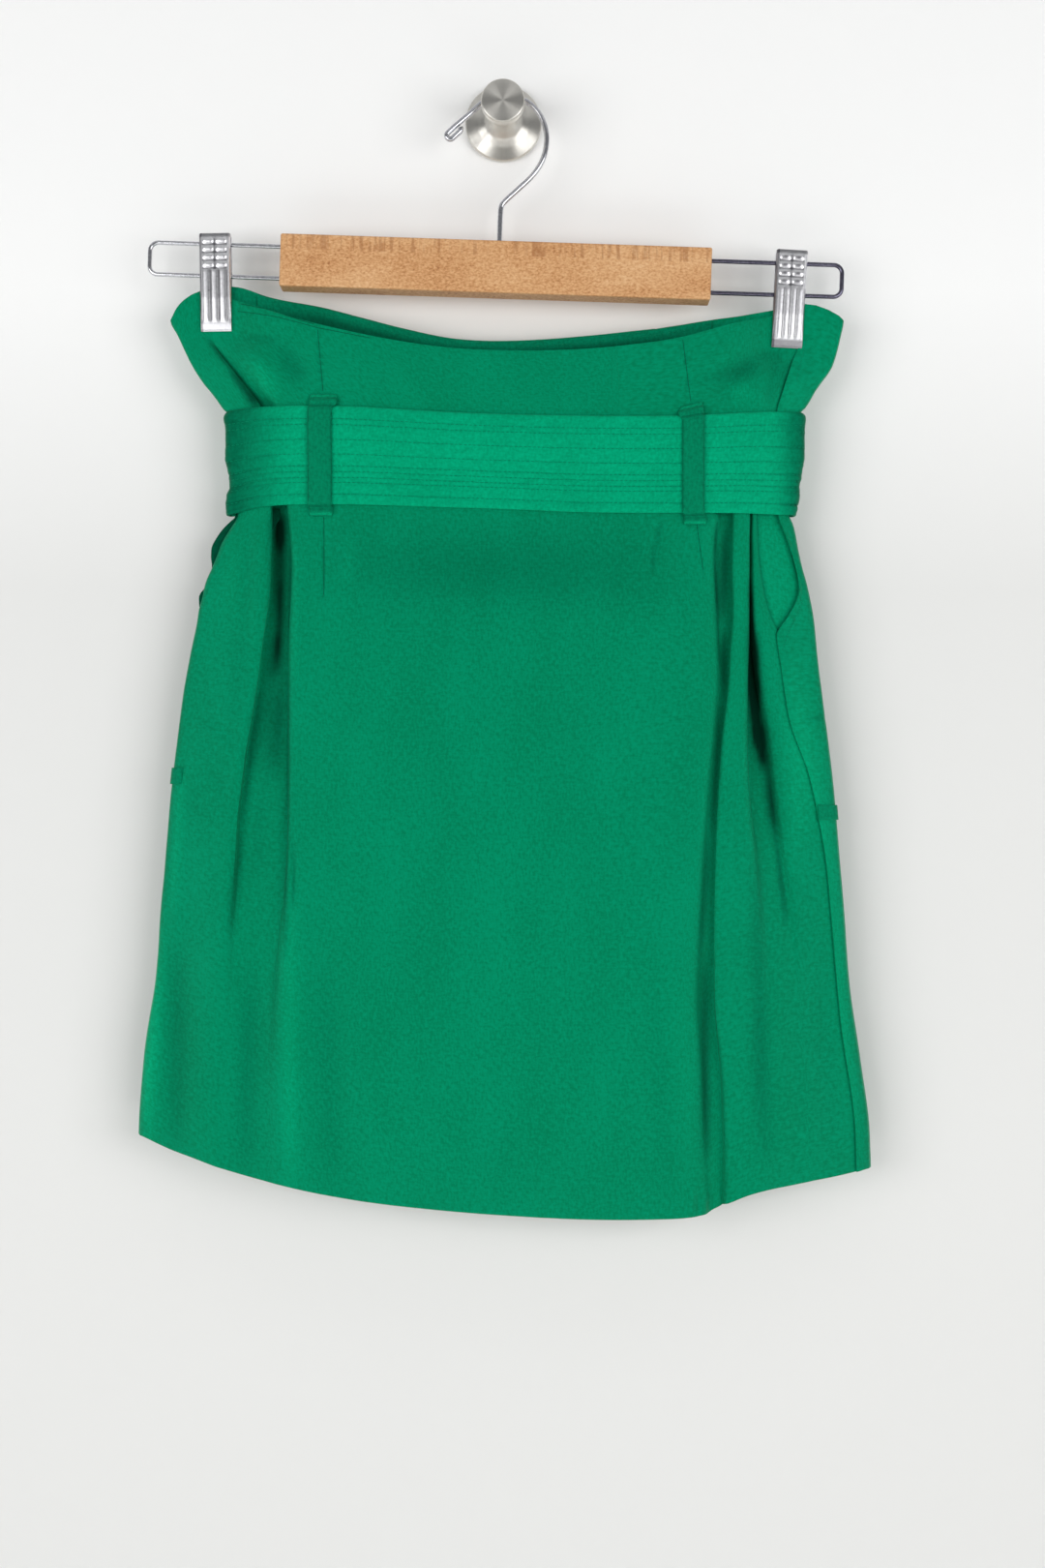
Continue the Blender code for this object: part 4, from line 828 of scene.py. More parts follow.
# the back panel
backPiece = {
    "rowStep": 2.9, "columns": 226, "underBelt": ((-176, -184), (-246, -238)), "reliefSpan": (-2.2, 1.5),
    # closer columns at the two darts, the side pleats and their lips
    "focus": ((-107, 3.2, 4.5), (112.5, 5, 3.2), (-134, 14, 0.9), (136, 10, 1.2), (152, 10, 1.4)),
    "darts": (   # photo ends, width and depth of the seam's groove
        (328, 339, 331, 375, 0.75, -0.55), (331, 375, 333.5, 404, 0.75, -0.6), (706, 350, 710, 383, 0.75, -0.5),
        (710, 383, 714.5, 416, 0.75, -0.55), (334, 533, 334.6, 580, 0.75, -0.5),
        (334.6, 580, 334.8, 628, 0.75, -0.35), (720.5, 541, 724.5, 572, 0.75, -0.35),
        (724.5, 572, 728, 602, 0.75, -0.2)),
    "seamShadeLines": (                     # painted shade: rows of dark lumps in the dart seams, the topstitching and the gap under the top edge, by their photo places
        ((328, 340), (331, 375), (333.5, 405)), ((706, 351), (710, 383), (714.5, 416)),
        ((334.3, 534), (334.8, 580), (334.6, 618)), ((720.5, 541), (724.5, 572), (727, 590)),
        ((244, 318), (287, 326.5), (328, 338), (384, 349)), ((247, 310.5), (270, 316.5), (326, 334.8))),
    "creases": (
        # the left wing: the pull lines from the clip, the puff beside the tuck, the hollow before the dart
        (247, 344, 286, 350, 2.6, -0.9), (258, 336, 304, 341, 2.2, -0.4), (262, 330, 300, 334, 1.8, 0.35),
        (262, 366, 284, 402, 6.5, 1.1), (292, 362, 312, 388, 8.5, -1.5), (246, 352, 262, 372, 4, 0.8),
        (300, 402, 326, 416, 5, 0.5),
        # the right wing: the hollow under the clip, the puff over the belt
        (784, 372, 752, 392, 7.5, -1.5), (796, 360, 780, 372, 6, -0.8), (772, 400, 792, 412, 6, 1),
        (736, 356, 750, 366, 9, 0.7), (742, 398, 756, 412, 6, -0.5),
        # above the belt in the middle, very soft
        (420, 380, 500, 395, 14, 0.5), (560, 375, 640, 392, 14, -0.5),
        # under the belt
        (682, 532, 679, 560, 1.5, -0.9), (679, 560, 673, 594, 1.7, -0.6), (668, 540, 662, 588, 4.5, 0.6),
        (692, 540, 688, 600, 5, 0.5), (413, 560, 412, 620, 3, -0.4), (358, 536, 352, 566, 2.4, 0.5),
        (324, 536, 333, 552, 2, -0.5), (346, 536, 336, 552, 2, -0.5), (703, 560, 701, 660, 2.2, -0.35),
        (716, 610, 712, 720, 4, 0.5), (257, 534, 252, 640, 2.2, -0.5), (268, 540, 266, 660, 4, 0.45),
        (306, 560, 306, 760, 5, 0.6),
        # long soft folds of the skirt
        (300, 900, 302, 1205, 9, 1.3), (262, 1010, 254, 1200, 9, -1.4), (226, 900, 214, 1190, 10, 0.8),
        (182, 980, 180, 1180, 8, -1.5), (155, 1000, 152, 1168, 7, 1.2), (340, 1000, 348, 1226, 9, -0.7),
        (420, 1060, 424, 1236, 16, 0.6), (520, 1100, 520, 1240, 18, -0.5), (620, 1050, 624, 1240, 16, 0.6),
        (729, 990, 730, 1190, 6, -1.6), (690, 960, 700, 1230, 9, 0.8), (800, 960, 812, 1200, 8, 0.9),
        (780, 900, 790, 1180, 5, -0.6), (850, 1000, 862, 1196, 7, -0.7),
        # slanting pulls in the side panels
        (773, 1181, 826, 1169, 2.6, -0.5), (784, 1203, 828, 1201, 2.6, -0.5), (802, 905, 838, 930, 3.4, -0.5),
        (806, 960, 846, 984, 3.6, -0.4), (800, 1060, 852, 1086, 3.6, -0.5), (796, 1110, 850, 1128, 3.2, 0.4),
        (224, 745, 262, 790, 3.8, -0.5), (216, 790, 250, 850, 4.2, -0.4), (188, 1042, 240, 1070, 3.8, -0.4),
        (176, 1090, 226, 1116, 3.8, -0.4),
        # puckers at the hem under the ridge
        (713, 1226, 714, 1250, 1.5, 0.7), (720, 1228, 721, 1252, 1.5, -0.7), (727, 1225, 728, 1251, 1.5, 0.7),
        (734, 1226, 735, 1250, 1.5, -0.7), (741, 1224, 742, 1246, 1.5, 0.6),
        # the second line beside the left pleat's foot, and short pulls in the left side panel
        (303, 862, 305, 925, 1.2, -0.6), (303, 930, 301, 985, 1.1, -0.5), (208, 764, 225, 778, 1.4, -0.5),
        (198, 738, 214, 734, 1.8, -0.3), (199, 831, 205, 835, 1.2, -0.4), (185, 812, 177, 1000, 2.2, 0.5),
        (804, 361, 822, 363, 1.2, -0.4)),
    # painted shade where the folds are dark: photo ends, width and how dark
    "shade": (
        (287, 524, 287, 640, 4.6, 0.8), (284, 650, 277, 700, 4, 0.5), (276, 700, 262, 790, 5, 0.26),
        (266, 715, 248, 850, 2.2, 0.3), (247, 860, 237, 960, 1.8, 0.3), (298, 680, 298, 870, 1.4, 0.45),
        (298, 870, 296, 990, 1, 0.4), (304, 870, 304, 940, 0.8, 0.35), (751, 540, 748, 640, 3.2, 0.62),
        (742, 560, 742, 640, 2, 0.3), (749, 650, 748, 715, 2.6, 0.6), (745, 720, 735, 860, 2.6, 0.48),
        (732, 865, 724, 985, 2.8, 0.42), (728, 990, 730, 1190, 3.4, 0.4), (777, 600, 780, 700, 1.4, 0.9),
        (780, 660, 786, 765, 3, 0.95), (787, 750, 790, 795, 3.4, 0.72), (793, 800, 803, 865, 3, 0.35),
        (803, 865, 812, 960, 1.6, 0.25), (778, 534, 777, 600, 0.9, 0.55), (212, 347, 238, 382, 1.4, 0.5),
        (238, 382, 254, 404, 2.6, 0.66), (254, 404, 266, 418, 3.4, 0.8), (288, 710, 286, 800, 3, 0.14),
        (247, 650, 242, 760, 6, 0.09), (780, 1040, 781, 1160, 5, 0.1), (286, 526, 285.5, 562, 3.6, 0.6),
        (741, 537, 738, 575, 0.9, 0.45), (738, 575, 741, 632, 0.9, 0.45), (741, 632, 744, 690, 0.9, 0.4),
        (287, 600, 284, 690, 2.2, 0.3), (793, 782, 801, 862, 5, 0.28), (790, 745, 794, 790, 4, 0.4),
        (824, 362, 804, 420, 0.9, 0.55), (806, 372, 796, 412, 4, 0.16), (286, 356, 312, 392, 7, 0.18),
        (784, 374, 752, 394, 6, 0.2), (808, 366, 800, 380, 3, 0.12), (247, 344, 284, 350, 2, 0.16),
        (360, 570, 660, 570, 20, 0.07), (682, 534, 674, 590, 1.4, 0.25), (243, 305, 258, 312, 1, 0.2),
        (328, 339, 333, 405, 0.5, 0.3), (706, 350, 714, 416, 0.5, 0.28), (334, 533, 335, 628, 0.5, 0.3),
        (720, 541, 728, 602, 0.5, 0.16), (182, 980, 182, 1185, 6, 0.14), (258, 1000, 254, 1200, 7, 0.14),
        (780, 900, 790, 1190, 5, 0.18), (676, 1000, 690, 1230, 7, 0.05), (336, 1000, 344, 1226, 7, 0.08),
        (289, 630, 287, 700, 4, 0.4), (286, 700, 278, 800, 6, 0.38), (272, 800, 264, 900, 6, 0.12),
        (298, 560, 297, 680, 1, 0.45), (776, 600, 778, 660, 1.8, 0.9), (778, 650, 780, 715, 3.4, 0.95),
        (360, 592, 690, 596, 20, 0.18), (780, 705, 783, 745, 4.2, 0.8), (783, 745, 786, 776, 4.6, 0.6),
        (796, 780, 803, 862, 1.6, 0.35), (803, 862, 814, 950, 1.6, 0.3),
        (727, 394, 787, 369, 5, 0.16), (787, 364, 812, 362, 3, 0.22), (818, 368, 808, 400, 3, 0.22),
        (729, 1000, 730, 1180, 2.4, 0.12), (205, 752, 224, 745, 4, 0.06), (188, 826, 216, 846, 6, 0.05),
        # and painted light where they turn to a light
        (160, 930, 150, 1180, 5, -0.34), (300, 930, 302, 1215, 6, -0.24), (262, 374, 282, 404, 6, -0.24),
        (186, 800, 176, 940, 3, -0.2), (815, 700, 826, 900, 7, -0.12), (240, 560, 232, 640, 5, -0.08),
        (756, 406, 776, 398, 6, -0.2), (764, 560, 765, 640, 2.6, -0.05), (700, 1000, 706, 1200, 8, -0.06),
        (806, 556, 812, 640, 5, -0.22), (828, 720, 834, 860, 8, -0.18), (304, 560, 306, 700, 3, -0.08),
        (360, 556, 358, 600, 3, -0.1), (158, 960, 148, 1176, 4, -0.14)),
}


topOfBack, hemOfBack = (functools.partial(readRow, table, "z") for table in ("backTop", "hem"))


def topOfFront(x):                     # its turned edge waves a little beside the left clip
    wave = math.sin(x * 0.62) + 0.6 * math.sin(x * 0.37 + 1.0)
    dent = 0.9 * bell(x, 86.0, 3.2) - 0.4 * bell(x, 79.5, 2.0)
    return float(readRow("frontTop", "z", x) + 0.38 * wave * bell(x, -130.0, 24.0) + dent)


def hemOfFront(x):
    return hemOfBack(x) + skirt["frontHemLift"] * (1 - min(abs(x) / skirt["hemHalf"], 1.0) ** 2)


def makeBack():
    grid = panelGrid(backSection, topOfBack, hemOfBack, backPiece, backPiece["columns"])
    x, z = grid[:, :, 0], grid[:, :, 2]
    relief = photoRelief(grid, backPiece["creases"]) + photoRelief(grid, backPiece["darts"])
    relief += 0.28 * cloudRelief(x, z, 34.0, 60.0, 3.1) * smoothStep(z, -120.0, -165.0)
    relief += 0.12 * cloudRelief(x, z, 11.0, 21.0, 8.7)
    relief = heldFlat(relief, x, z, backPiece)
    # painted shade from the table, and a little more in the relief's troughs
    shade = photoRelief(grid, backPiece["shade"]) + 0.05 * np.clip(-relief, 0.0, 1.5)
    grid = relieved(grid, near, relief)
    showSize("back panel", grid)
    return clothPiece("backPanel", grid, skirt["clothWall"], clothLook, 0.35, shade, "back_panel")


backPanel = makeBack()
# painted shade as dark thread lumps along the seams
dartSeamShade = stitchPiece("dartSeamShade", [lineOn(backPanel, spots, 1.0, 0.0) for spots in backPiece["seamShadeLines"]],
                        seamShadeLook, width=0.42, height=0.16, pitch=0.9, length=1.5)
print("back panel made")

# the two front panels, which wrap over each other behind
frontPiece = {
    "rowStep": 4.0, "overColumns": 96, "underColumns": 88, "underBelt": ((-174, -182), (-248, -240)),
    "reliefSpan": (-1.6, 1.5),
    "sideLines": (((831, 620), (816, 652.5), (807, 677)), ((838, 341), (823, 395))),       # stitches at the edge
    "overCreases": (                   # on the right margin, which the camera sees
        (830, 632, 822, 652, 1.4, -0.3), (808, 700, 822, 770, 4, 0.5), (842, 900, 852, 1010, 5, 0.5),
        (846, 372, 830, 392, 3.6, 0.5), (852, 352, 838, 372, 3, -0.4), (833, 738, 852, 741, 1.8, -0.6),
        (838, 750, 850, 754, 3.2, 0.6), (846, 345, 829, 395, 0.9, -0.35), (831, 618, 816, 652, 0.9, -0.3),
        (816, 652, 807, 680, 0.9, -0.3), (826, 690, 834, 712, 4, -0.4)),
    # painted shade, and painted light where below 0, on the right margin: photo ends, width and how dark
    "shade": ((822, 690, 852, 960, 9, -0.32), (860, 960, 880, 1180, 7, -0.2), (830, 360, 812, 416, 1.6, -0.26),
              (834, 739, 852, 741, 1.6, 0.3), (845, 350, 832, 392, 0.6, 0.25)),
    "behind": (                        # on the far layer, x and z in mm: the folds that hang from the belt
        (150, -270, 146, -600, 9, 1.5), (118, -250, 112, -560, 7, -1.6), (86, -250, 84, -610, 11, 1.4),
        (40, -300, 46, -630, 13, -1), (-4, -260, -10, -620, 12, 1.2), (-46, -250, -50, -610, 6, -1),
        (-92, -250, -98, -590, 9, 1.4), (-126, -246, -132, -560, 7, -1.4), (-160, -300, -176, -580, 9, 1.2),
        (60, -136, 66, -176, 7, 0.9), (20, -140, 22, -178, 8, -0.8), (-30, -140, -26, -178, 7, 0.8),
        (-80, -130, -84, -176, 6, -0.8), (110, -130, 116, -176, 6, 0.8)),
}


def makeFront(name, section, count, outward, rows, node):
    grid = panelGrid(section, topOfFront, hemOfFront, frontPiece, count)
    x, y, z = grid[:, :, 0], grid[:, :, 1], grid[:, :, 2]
    isFar = smoothStep(y, hangY, hangY + 3.0)
    relief = creaseRelief(x, z, frontPiece["behind"]) * isFar + photoRelief(grid, rows) * (1 - isFar)
    relief += 0.2 * cloudRelief(x, z, 34.0, 60.0, 5.3) * isFar
    relief = heldFlat(relief, x, z, frontPiece)
    shade = photoRelief(grid, frontPiece["shade"]) * (1 - isFar)
    grid = relieved(grid, outward, relief)
    showSize(name, grid)
    return clothPiece(name, grid, skirt["clothWall"], clothLook if outward == near else shadedInsideLook, 0.35, shade,
                      node)


frontOver = makeFront("frontWrapOver", frontOverSection, frontPiece["overColumns"], near,
                      frontPiece["overCreases"], "front_wrap_over")
sideStitches = stitchPiece("sideStitches", [lineOn(frontOver, spots) for spots in frontPiece["sideLines"]],
                           threadLook, width=0.4, height=0.25, pitch=2.7, length=2.0)
frontUnder = makeFront("frontWrapUnder", frontUnderSection, frontPiece["underColumns"], far, (),
                       "front_wrap_under")
print("front panels made")


# the small sewn-on strips: facing, pocket facings, tabs
stripPiece = {
    "softEdge": 0.3, "facingRows": 16, "facingColumns": 150, "facingInset": 1.0, "facingStitchRow": 2,
    "pocketRows": 34, "pocketColumns": (24, 18), "tabRows": 7, "tabColumns": 40,
    "tabReach": {"left": (3.0, 17.0), "right": (10.8, 13.0)},      # from the fold, on the near and the far side
    "dots": (((807, 684.6), (807.4, 688.2)), ((474, 357.6), (478, 358.2))),
}


def makeStrip(name, grid, wall, look, node, shade=None):
    showSize(name, grid)
    piece = clothPiece(name, grid, wall, look, stripPiece["softEdge"], shade, node)
    return piece


def facingHeight(x, t):
    return readRow("frontTop", "z", x) - stripPiece["facingInset"] - skirt["facingDrop"] * t


def makeFacing():
    rows, count, row = (stripPiece["facing" + key] for key in ("Rows", "Columns", "StitchRow"))
    grid = bandGrid(facingSection, facingHeight, rows, count)
    normals = gridNormals(grid, near)[row, 8:-8]
    line = grid[row, 8:-8] + normals * (skirt["facingWall"] / 2 + 0.12)
    stitches = stitchPiece("facingStitches", [(line, normals)], threadLook,
                           width=0.5, height=0.4, pitch=2.9, length=2.0)
    across, down = np.meshgrid(np.linspace(-0.5, 0.5, count), np.linspace(0, 1, rows))
    # painted shade: darker lower down inside the skirt, fading out towards the facing's two ends
    shade = (0.02 + 0.52 * smoothStep(down, 0.1, 0.3)) * smoothStep(0.5 - np.abs(across), 0.0, 0.16)
    relief = 0.18 * cloudRelief(grid[:, :, 0], grid[:, :, 2], 9.0, 6.0, 2.2)
    return makeStrip("frontFacing", relieved(grid, near, relief), skirt["facingWall"], shadedInsideLook, "front_facing",
                     shade)


def makePocket(side, section, foot, count, look, shadeAt):
    grid = bandGrid(section, lambda x, t: lerp(skirt["pocketTop"], foot, t), stripPiece["pocketRows"], count)
    shade = shadeAt(np.tile(np.linspace(0, 1, count), (stripPiece["pocketRows"], 1)))
    return makeStrip("pocketFacing" + side, grid, skirt["clothWall"], look, "pocket_facing_" + side.lower(),
                     shade)


def makeTab(end):
    span, (start, stop) = skirt["tab" + end], stripPiece["tabReach"][end.lower()]
    rows = [tabSection(z, end.lower(), start, stop) for z in span]
    grid = [[(lerp(a[0], b[0], t), lerp(a[1], b[1], t), lerp(*span, t)) for a, b in zip(*rows)]
            for t in np.linspace(0.0, 1.0, stripPiece["tabRows"])]
    return makeStrip("seamTab" + end, evenColumns(roundedRows(grid), stripPiece["tabColumns"]),
                     skirt["tabWall"], loopLook, "seam_tab_" + end.lower())


frontFacing = makeFacing()
dotRuns = [lineOn(piece, spots, 1.1) for piece, spots in zip((backPanel, frontFacing), stripPiece["dots"])]
threadDots = stitchPiece("threadDots", dotRuns, dotLook, width=1.0, height=0.5, pitch=0.9, length=1.3)
# painted light on the right pocket facing, with painted shade at its left edge
pocketRight = makePocket("Right", pocketRightSection, skirt["pocketRightFoot"], stripPiece["pocketColumns"][1],
                         clothLook,
                         lambda across: -0.14 + 0.3 * (1 - smoothStep(across, 0.0, 0.2)))
# painted shade over the whole left pocket facing
pocketLeft = makePocket("Left", pocketLeftSection, skirt["pocketFoot"], stripPiece["pocketColumns"][0],
                        shadedInsideLook,
                        lambda across: np.full_like(across, 0.72))
tabRight, tabLeft = makeTab("Right"), makeTab("Left")
print("strips and tabs made")

# the belt: a wide band with rows of stitching, once round the skirt
beltPiece = {
    "rows": 74, "columns": 330, "middleRow": 36, "wide": 58.0,
    "stitchRows": ((0.13, 0.12), (0.19, 0.1), (0.34, 0.15), (0.49, 0.18), (0.61, 0.22), (0.67, 0.18),
                   (0.73, 0.2), (0.78, 0.18), (0.9, 0.3)),       # how far down, and the groove's depth
    "grooveWidth": 0.012, "edgeWidth": 0.012, "folds": (-162, 174), "foldWidth": 13,
    "ends": (-164, 178), "endShade": (0.66, 0.64), "endWidth": (44, 22),       # painted shade where it turns away from the lights
}


def beltHeight(x, t):
    return lerp(readRow("beltEdges", "top", x), readRow("beltEdges", "bottom", x), t)


def makeBelt():
    b = beltPiece
    grid = bandGrid(beltSection, beltHeight, b["rows"], b["columns"])
    x, y = grid[:, :, 0], grid[:, :, 1]
    along, down = np.meshgrid(travelled(stepsOf(grid[b["middleRow"]])), np.linspace(0.0, 1.0, b["rows"]))
    wander = 0.008 * cloudRelief(along, down, 22.0, 0.2, 6.6)
    atFold = sum(bell(x, fold, b["foldWidth"]) for fold in b["folds"])
    lower = smoothStep(down, 0.35, 0.65)
    grooves = np.zeros_like(x)
    for k, (place, depth) in enumerate(b["stitchRows"]):       # each row pulls in here and hardly there
        pull = np.clip(0.55 + 0.9 * cloudRelief(along, down * 0, 15.0, 1.0, 2.0 + k), 0.12, 1.2)
        pull = pull * (1 + 0.8 * atFold * lower)
        grooves += depth * pull * bell(down - place, wander, b["grooveWidth"])
    puff = cloudRelief(along, down * b["wide"], 5.5, 2.6, 4.4)
    relief = (0.10 + 0.34 * atFold * (0.3 + 0.7 * lower)) * puff - grooves
    relief += 0.14 * cloudRelief(along, down * b["wide"], 26.0, 9.0, 9.9)
    relief -= 0.5 * bell(down, 0.0, b["edgeWidth"]) + 0.5 * bell(down, 1.0, b["edgeWidth"])
    (left, right), (leftWidth, rightWidth) = b["ends"], b["endWidth"]
    ends = b["endShade"][0] * (1 - smoothStep(x, left, left + leftWidth))
    ends += b["endShade"][1] * smoothStep(x, right - rightWidth, right)
    mottle = cloudRelief(along, down * b["wide"], 3.4, 1.6, 12.4)
    # painted shade at the ends, in the stitch grooves and under the puffs, a random mottle, and a little painted
    # light along the middle
    shade = ends * (y < hangY + 4.0) + 0.75 * grooves + 0.12 * np.clip(-puff, 0.0, 1.0) + 0.04 * mottle
    shade = shade - 0.05 * bell(down, 0.5, 0.3)
    grid = relieved(grid, far, np.clip(relief, -0.62, 0.6))
    showSize("belt", grid)
    return clothPiece("belt", grid, skirt["beltWall"], beltLook, 0.45, shade, "belt"), grid


def makeBeltStitches():
    normals = gridNormals(beltGrid, far)
    runs = []
    for place, depth in beltPiece["stitchRows"]:
        row = place * (beltPiece["rows"] - 1)
        low = int(row)
        line = lerp(beltGrid[low], beltGrid[low + 1], row - low)
        runs.append((line + normals[low] * (skirt["beltWall"] / 2 + 0.02), normals[low]))
    return stitchPiece("beltStitches", runs, threadLook, width=0.5, height=0.3, pitch=2.7, length=2.1)


belt, beltGrid = makeBelt()
makeBeltStitches()
print("belt made")

# the two loops that hold the belt: strips with a folded end above and below
loopPiece = {
    "rows": 90, "columns": 18, "bars": (0.1, 0.925),
    # where the cloth is dark or bright, down the strip
    # painted shade and painted highlight down the strip: how far down, and how dark (lighter below 0)
    "shade": ((0.105, 0.4), (0.918, 0.45), (0.945, 0.3), (0.985, -0.6), (0.02, -0.45)),
    # how far down the strip, how much wider on its left and on its right
    "left": ((0, -1.9, 2), (0.015, -1.2, 2.8), (0.05, -0.9, 3.1), (0.085, -1.1, 2.9), (0.105, -0.6, 1.4),
             (0.12, 0, 0.1), (0.3, 0.1, -0.1), (0.6, -0.1, 0.1), (0.9, 0, 0), (0.925, -0.9, 0), (0.94, -0.8, 0.5),
             (0.98, -1, 0.3), (1, -1.5, -0.2)),
    "right": ((0, 0, -1.2), (0.02, 1.6, -0.9), (0.05, 2.6, -0.6), (0.075, 2.4, -0.4), (0.1, 0.9, -0.2),
              (0.12, 0, 0), (0.3, 0, 0.1), (0.6, 0.1, -0.1), (0.9, 0, 0), (0.925, -1.2, 0.4), (0.95, -0.9, 1.4),
              (0.98, -1, 1.3), (1, -1.4, 0.8)),
    "tilt": (0, 3.2),                # the right loop's upper end slants
}


def loopPath(x):                       # z and distance from the back panel: sewn on, over the belt, sewn on
    skin = skirt["clothWall"] / 2 + skirt["seamGap"] + skirt["loopWall"] / 2 + skirt["sewnGap"]
    lift = skin + skirt["beltWall"] + skirt["beltGap"]
    top, foot = readRow("beltEdges", "top", x), readRow("beltEdges", "bottom", x)
    reach = skirt["loopEnd"]
    path = [(top + reach, skin), (top + 4.6, skin), (top + 2.0, lift), (lerp(top, foot, 0.15), lift + 0.2),
            (lerp(top, foot, 0.5), lift + 0.3), (lerp(top, foot, 0.85), lift + 0.2), (foot - 2.0, lift),
            (foot - 4.6, skin), (foot - reach, skin)]
    return roundedRows([[(z, out, 0.0) for z, out in path]], 12)[0][:, :2]


def makeLoop(k, name, node):
    x, width = skirt["loopX"][k], skirt["loopWidth"][k]
    curve = loopPath(x)
    length = travelled(stepsOf(curve))
    edges = np.array(loopPiece["left" if k == 0 else "right"])
    rows, count = loopPiece["rows"], loopPiece["columns"]
    grid = np.zeros((rows, count, 3))
    for i, t in enumerate(np.linspace(0.0, 1.0, rows)):
        z, out = (float(np.interp(t * length[-1], length, curve[:, j])) for j in (0, 1))
        moreLeft, moreRight = (float(np.interp(t, edges[:, 0], edges[:, j])) for j in (1, 2))
        y = min(onLayer(x + width * s, z, near)[1] for s in (-0.5, 0.5)) - out
        for j, across in enumerate(np.linspace(0.0, 1.0, count)):
            at = lerp(-width / 2 - moreLeft, width / 2 + moreRight, across)
            grid[i, j] = (x + at, y, z + loopPiece["tilt"][k] * (at / width) * bell(t, 0.0, 0.16))
    across, down = np.meshgrid(np.linspace(-1.0, 1.0, count), np.linspace(0.0, 1.0, rows))
    relief = -0.45 * np.abs(across) ** 6 + 0.12 * cloudRelief(across * 7, down * 60, 5.0, 7.0, 1.5 + k)
    for place in loopPiece["bars"]:    # a bar of stitches holds each end, and the fold beyond it stands up
        relief -= 0.5 * bell(down, place, 0.012)
    relief += 0.35 * bell(down, 0.055, 0.025) + 0.35 * bell(down, 0.965, 0.02)
    grid = relieved(grid, near, relief)
    showSize(name, grid)
    # painted shade along the strip's two edges, and at the places listed
    shade = 0.45 * np.abs(across) ** 10 * smoothStep(down, 0.12, 0.16) * (1 - smoothStep(down, 0.86, 0.9))
    for place, dark in loopPiece["shade"]:
        shade += dark * bell(down, place, 0.011)
    piece = clothPiece(name, grid, skirt["loopWall"], loopLook, 0.35, shade, node)
    return piece


loops = [makeLoop(0, "beltLoopLeft", "belt_loop_left"), makeLoop(1, "beltLoopRight", "belt_loop_right")]
print("belt loops made")

# the hanger: a beech bar, two wire loops, a hook, and two clips with a spring each
hangerPiece = {
    "barCentre": (-4.3, hangY, -94.9), "barSize": (254, 15, 30.8), "tilt": math.radians(1.9),
    "armWire": 1.3, "armReach": 204.9, "armHalf": 9.4, "armCorner": 5, "armSeat": 9,
    "hookWire": 1.6, "hookSeat": 10, "hookFoot": 1.6,
    "hookRoute": [(-1.9, -70), (-1.6, -62), (-1.2, -57), (1.4, -54), (10, -46.4), (18.4, -38.6),
                  (24.4, -29), (26.4, -17), (24, -6.4), (18.4, 1.6), (10.4, 6.8), (-0.5, 9.2),
                  (-10.6, 5.6), (-18.6, -1.8)],
    "eyeCentre": (-29.2, -13.6), "eyeHalf": 2.8, "eyeRadius": 2.15, "eyeTurn": math.radians(43),
}
barFrame = Matrix.Translation(Vector(hangerPiece["barCentre"])) @ Matrix.Rotation(hangerPiece["tilt"], 4, "Y")


def wirePiece(name, points, radius, look, node, ring=16):
    deselectAll()
    bpy.ops.curve.primitive_nurbs_path_add()
    piece = bpy.context.object
    piece.name = name
    curve = piece.data
    curve.splines.clear()
    curve.dimensions = "3D"
    curve.bevel_depth = radius * mm
    curve.bevel_resolution = ring // 4
    curve.use_fill_caps = True
    spline = curve.splines.new("POLY")
    spline.points.add(len(points) - 1)
    for point, place in zip(spline.points, points):
        point.co = (place[0] * mm, place[1] * mm, place[2] * mm, 1.0)
    bpy.ops.object.convert(target="MESH")
    weld(0.00002)                      # the round ends are closed
    return closePiece(bpy.context.object, look, 50, node)


def onBar(x, z):                       # a point in the bar's own frame
    return barFrame @ Vector((x, 0, z))


def repaint(node, look):               # a CAD node that stays, in a better material
    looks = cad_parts[node].data.materials
    looks.clear()
    looks.append(look)


def makeArm(name, sign, look, node):
    h, c = hangerPiece, hangerPiece["armCorner"]
    half, high, reach = h["barSize"][0] / 2, h["armHalf"], h["armReach"]
    path = [(half - h["armSeat"], high), (half + 2, high), (reach - 2 * c, high)]
    path += [(reach - c + c * math.sin(a), high - c + c * math.cos(a)) for a in np.linspace(0, math.pi / 2, 14)]
    path += [(x, -z) for x, z in path[::-1]]
    wirePiece(name, [onBar(sign * x, z) for x, z in path], h["armWire"], look, node)


def makeHook():
    h, half, radius = hangerPiece, hangerPiece["eyeHalf"], hangerPiece["eyeRadius"]
    top = h["barSize"][2] / 2
    foot, mouth = onBar(h["hookFoot"], top - h["hookSeat"]), onBar(h["hookFoot"], top + 3.0)
    line = [(foot.x, hangY, foot.z), (mouth.x, hangY, mouth.z)] + [(x, hangY, z) for x, z in h["hookRoute"]]
    route = [tuple(p) for p in roundedRows([line], 7)[0]]
    eye = [(half, radius), (0.0, radius)]
    for centre, start, stop, count in ((-half, 90, 270, 16), (half, 270, 342, 8)):
        eye += [(centre + radius * math.cos(a), radius * math.sin(a))
                for a in np.radians(np.linspace(start, stop, count))]
    c, s = math.cos(h["eyeTurn"]), math.sin(h["eyeTurn"])
    route += [(h["eyeCentre"][0] + u * c - w * s, hangY, h["eyeCentre"][1] + u * s + w * c) for u, w in eye]
    wirePiece("hookWire", route, h["hookWire"], wireLook, "hanger_hook", 20)


makeArm("armWireLeft", -1, wireLook, "hanger_arm_left")
makeArm("armWireRight", 1, shadedWireLook, "hanger_arm_right")
makeHook()
repaint("hanger_bar", beechLook)
print("hanger made")

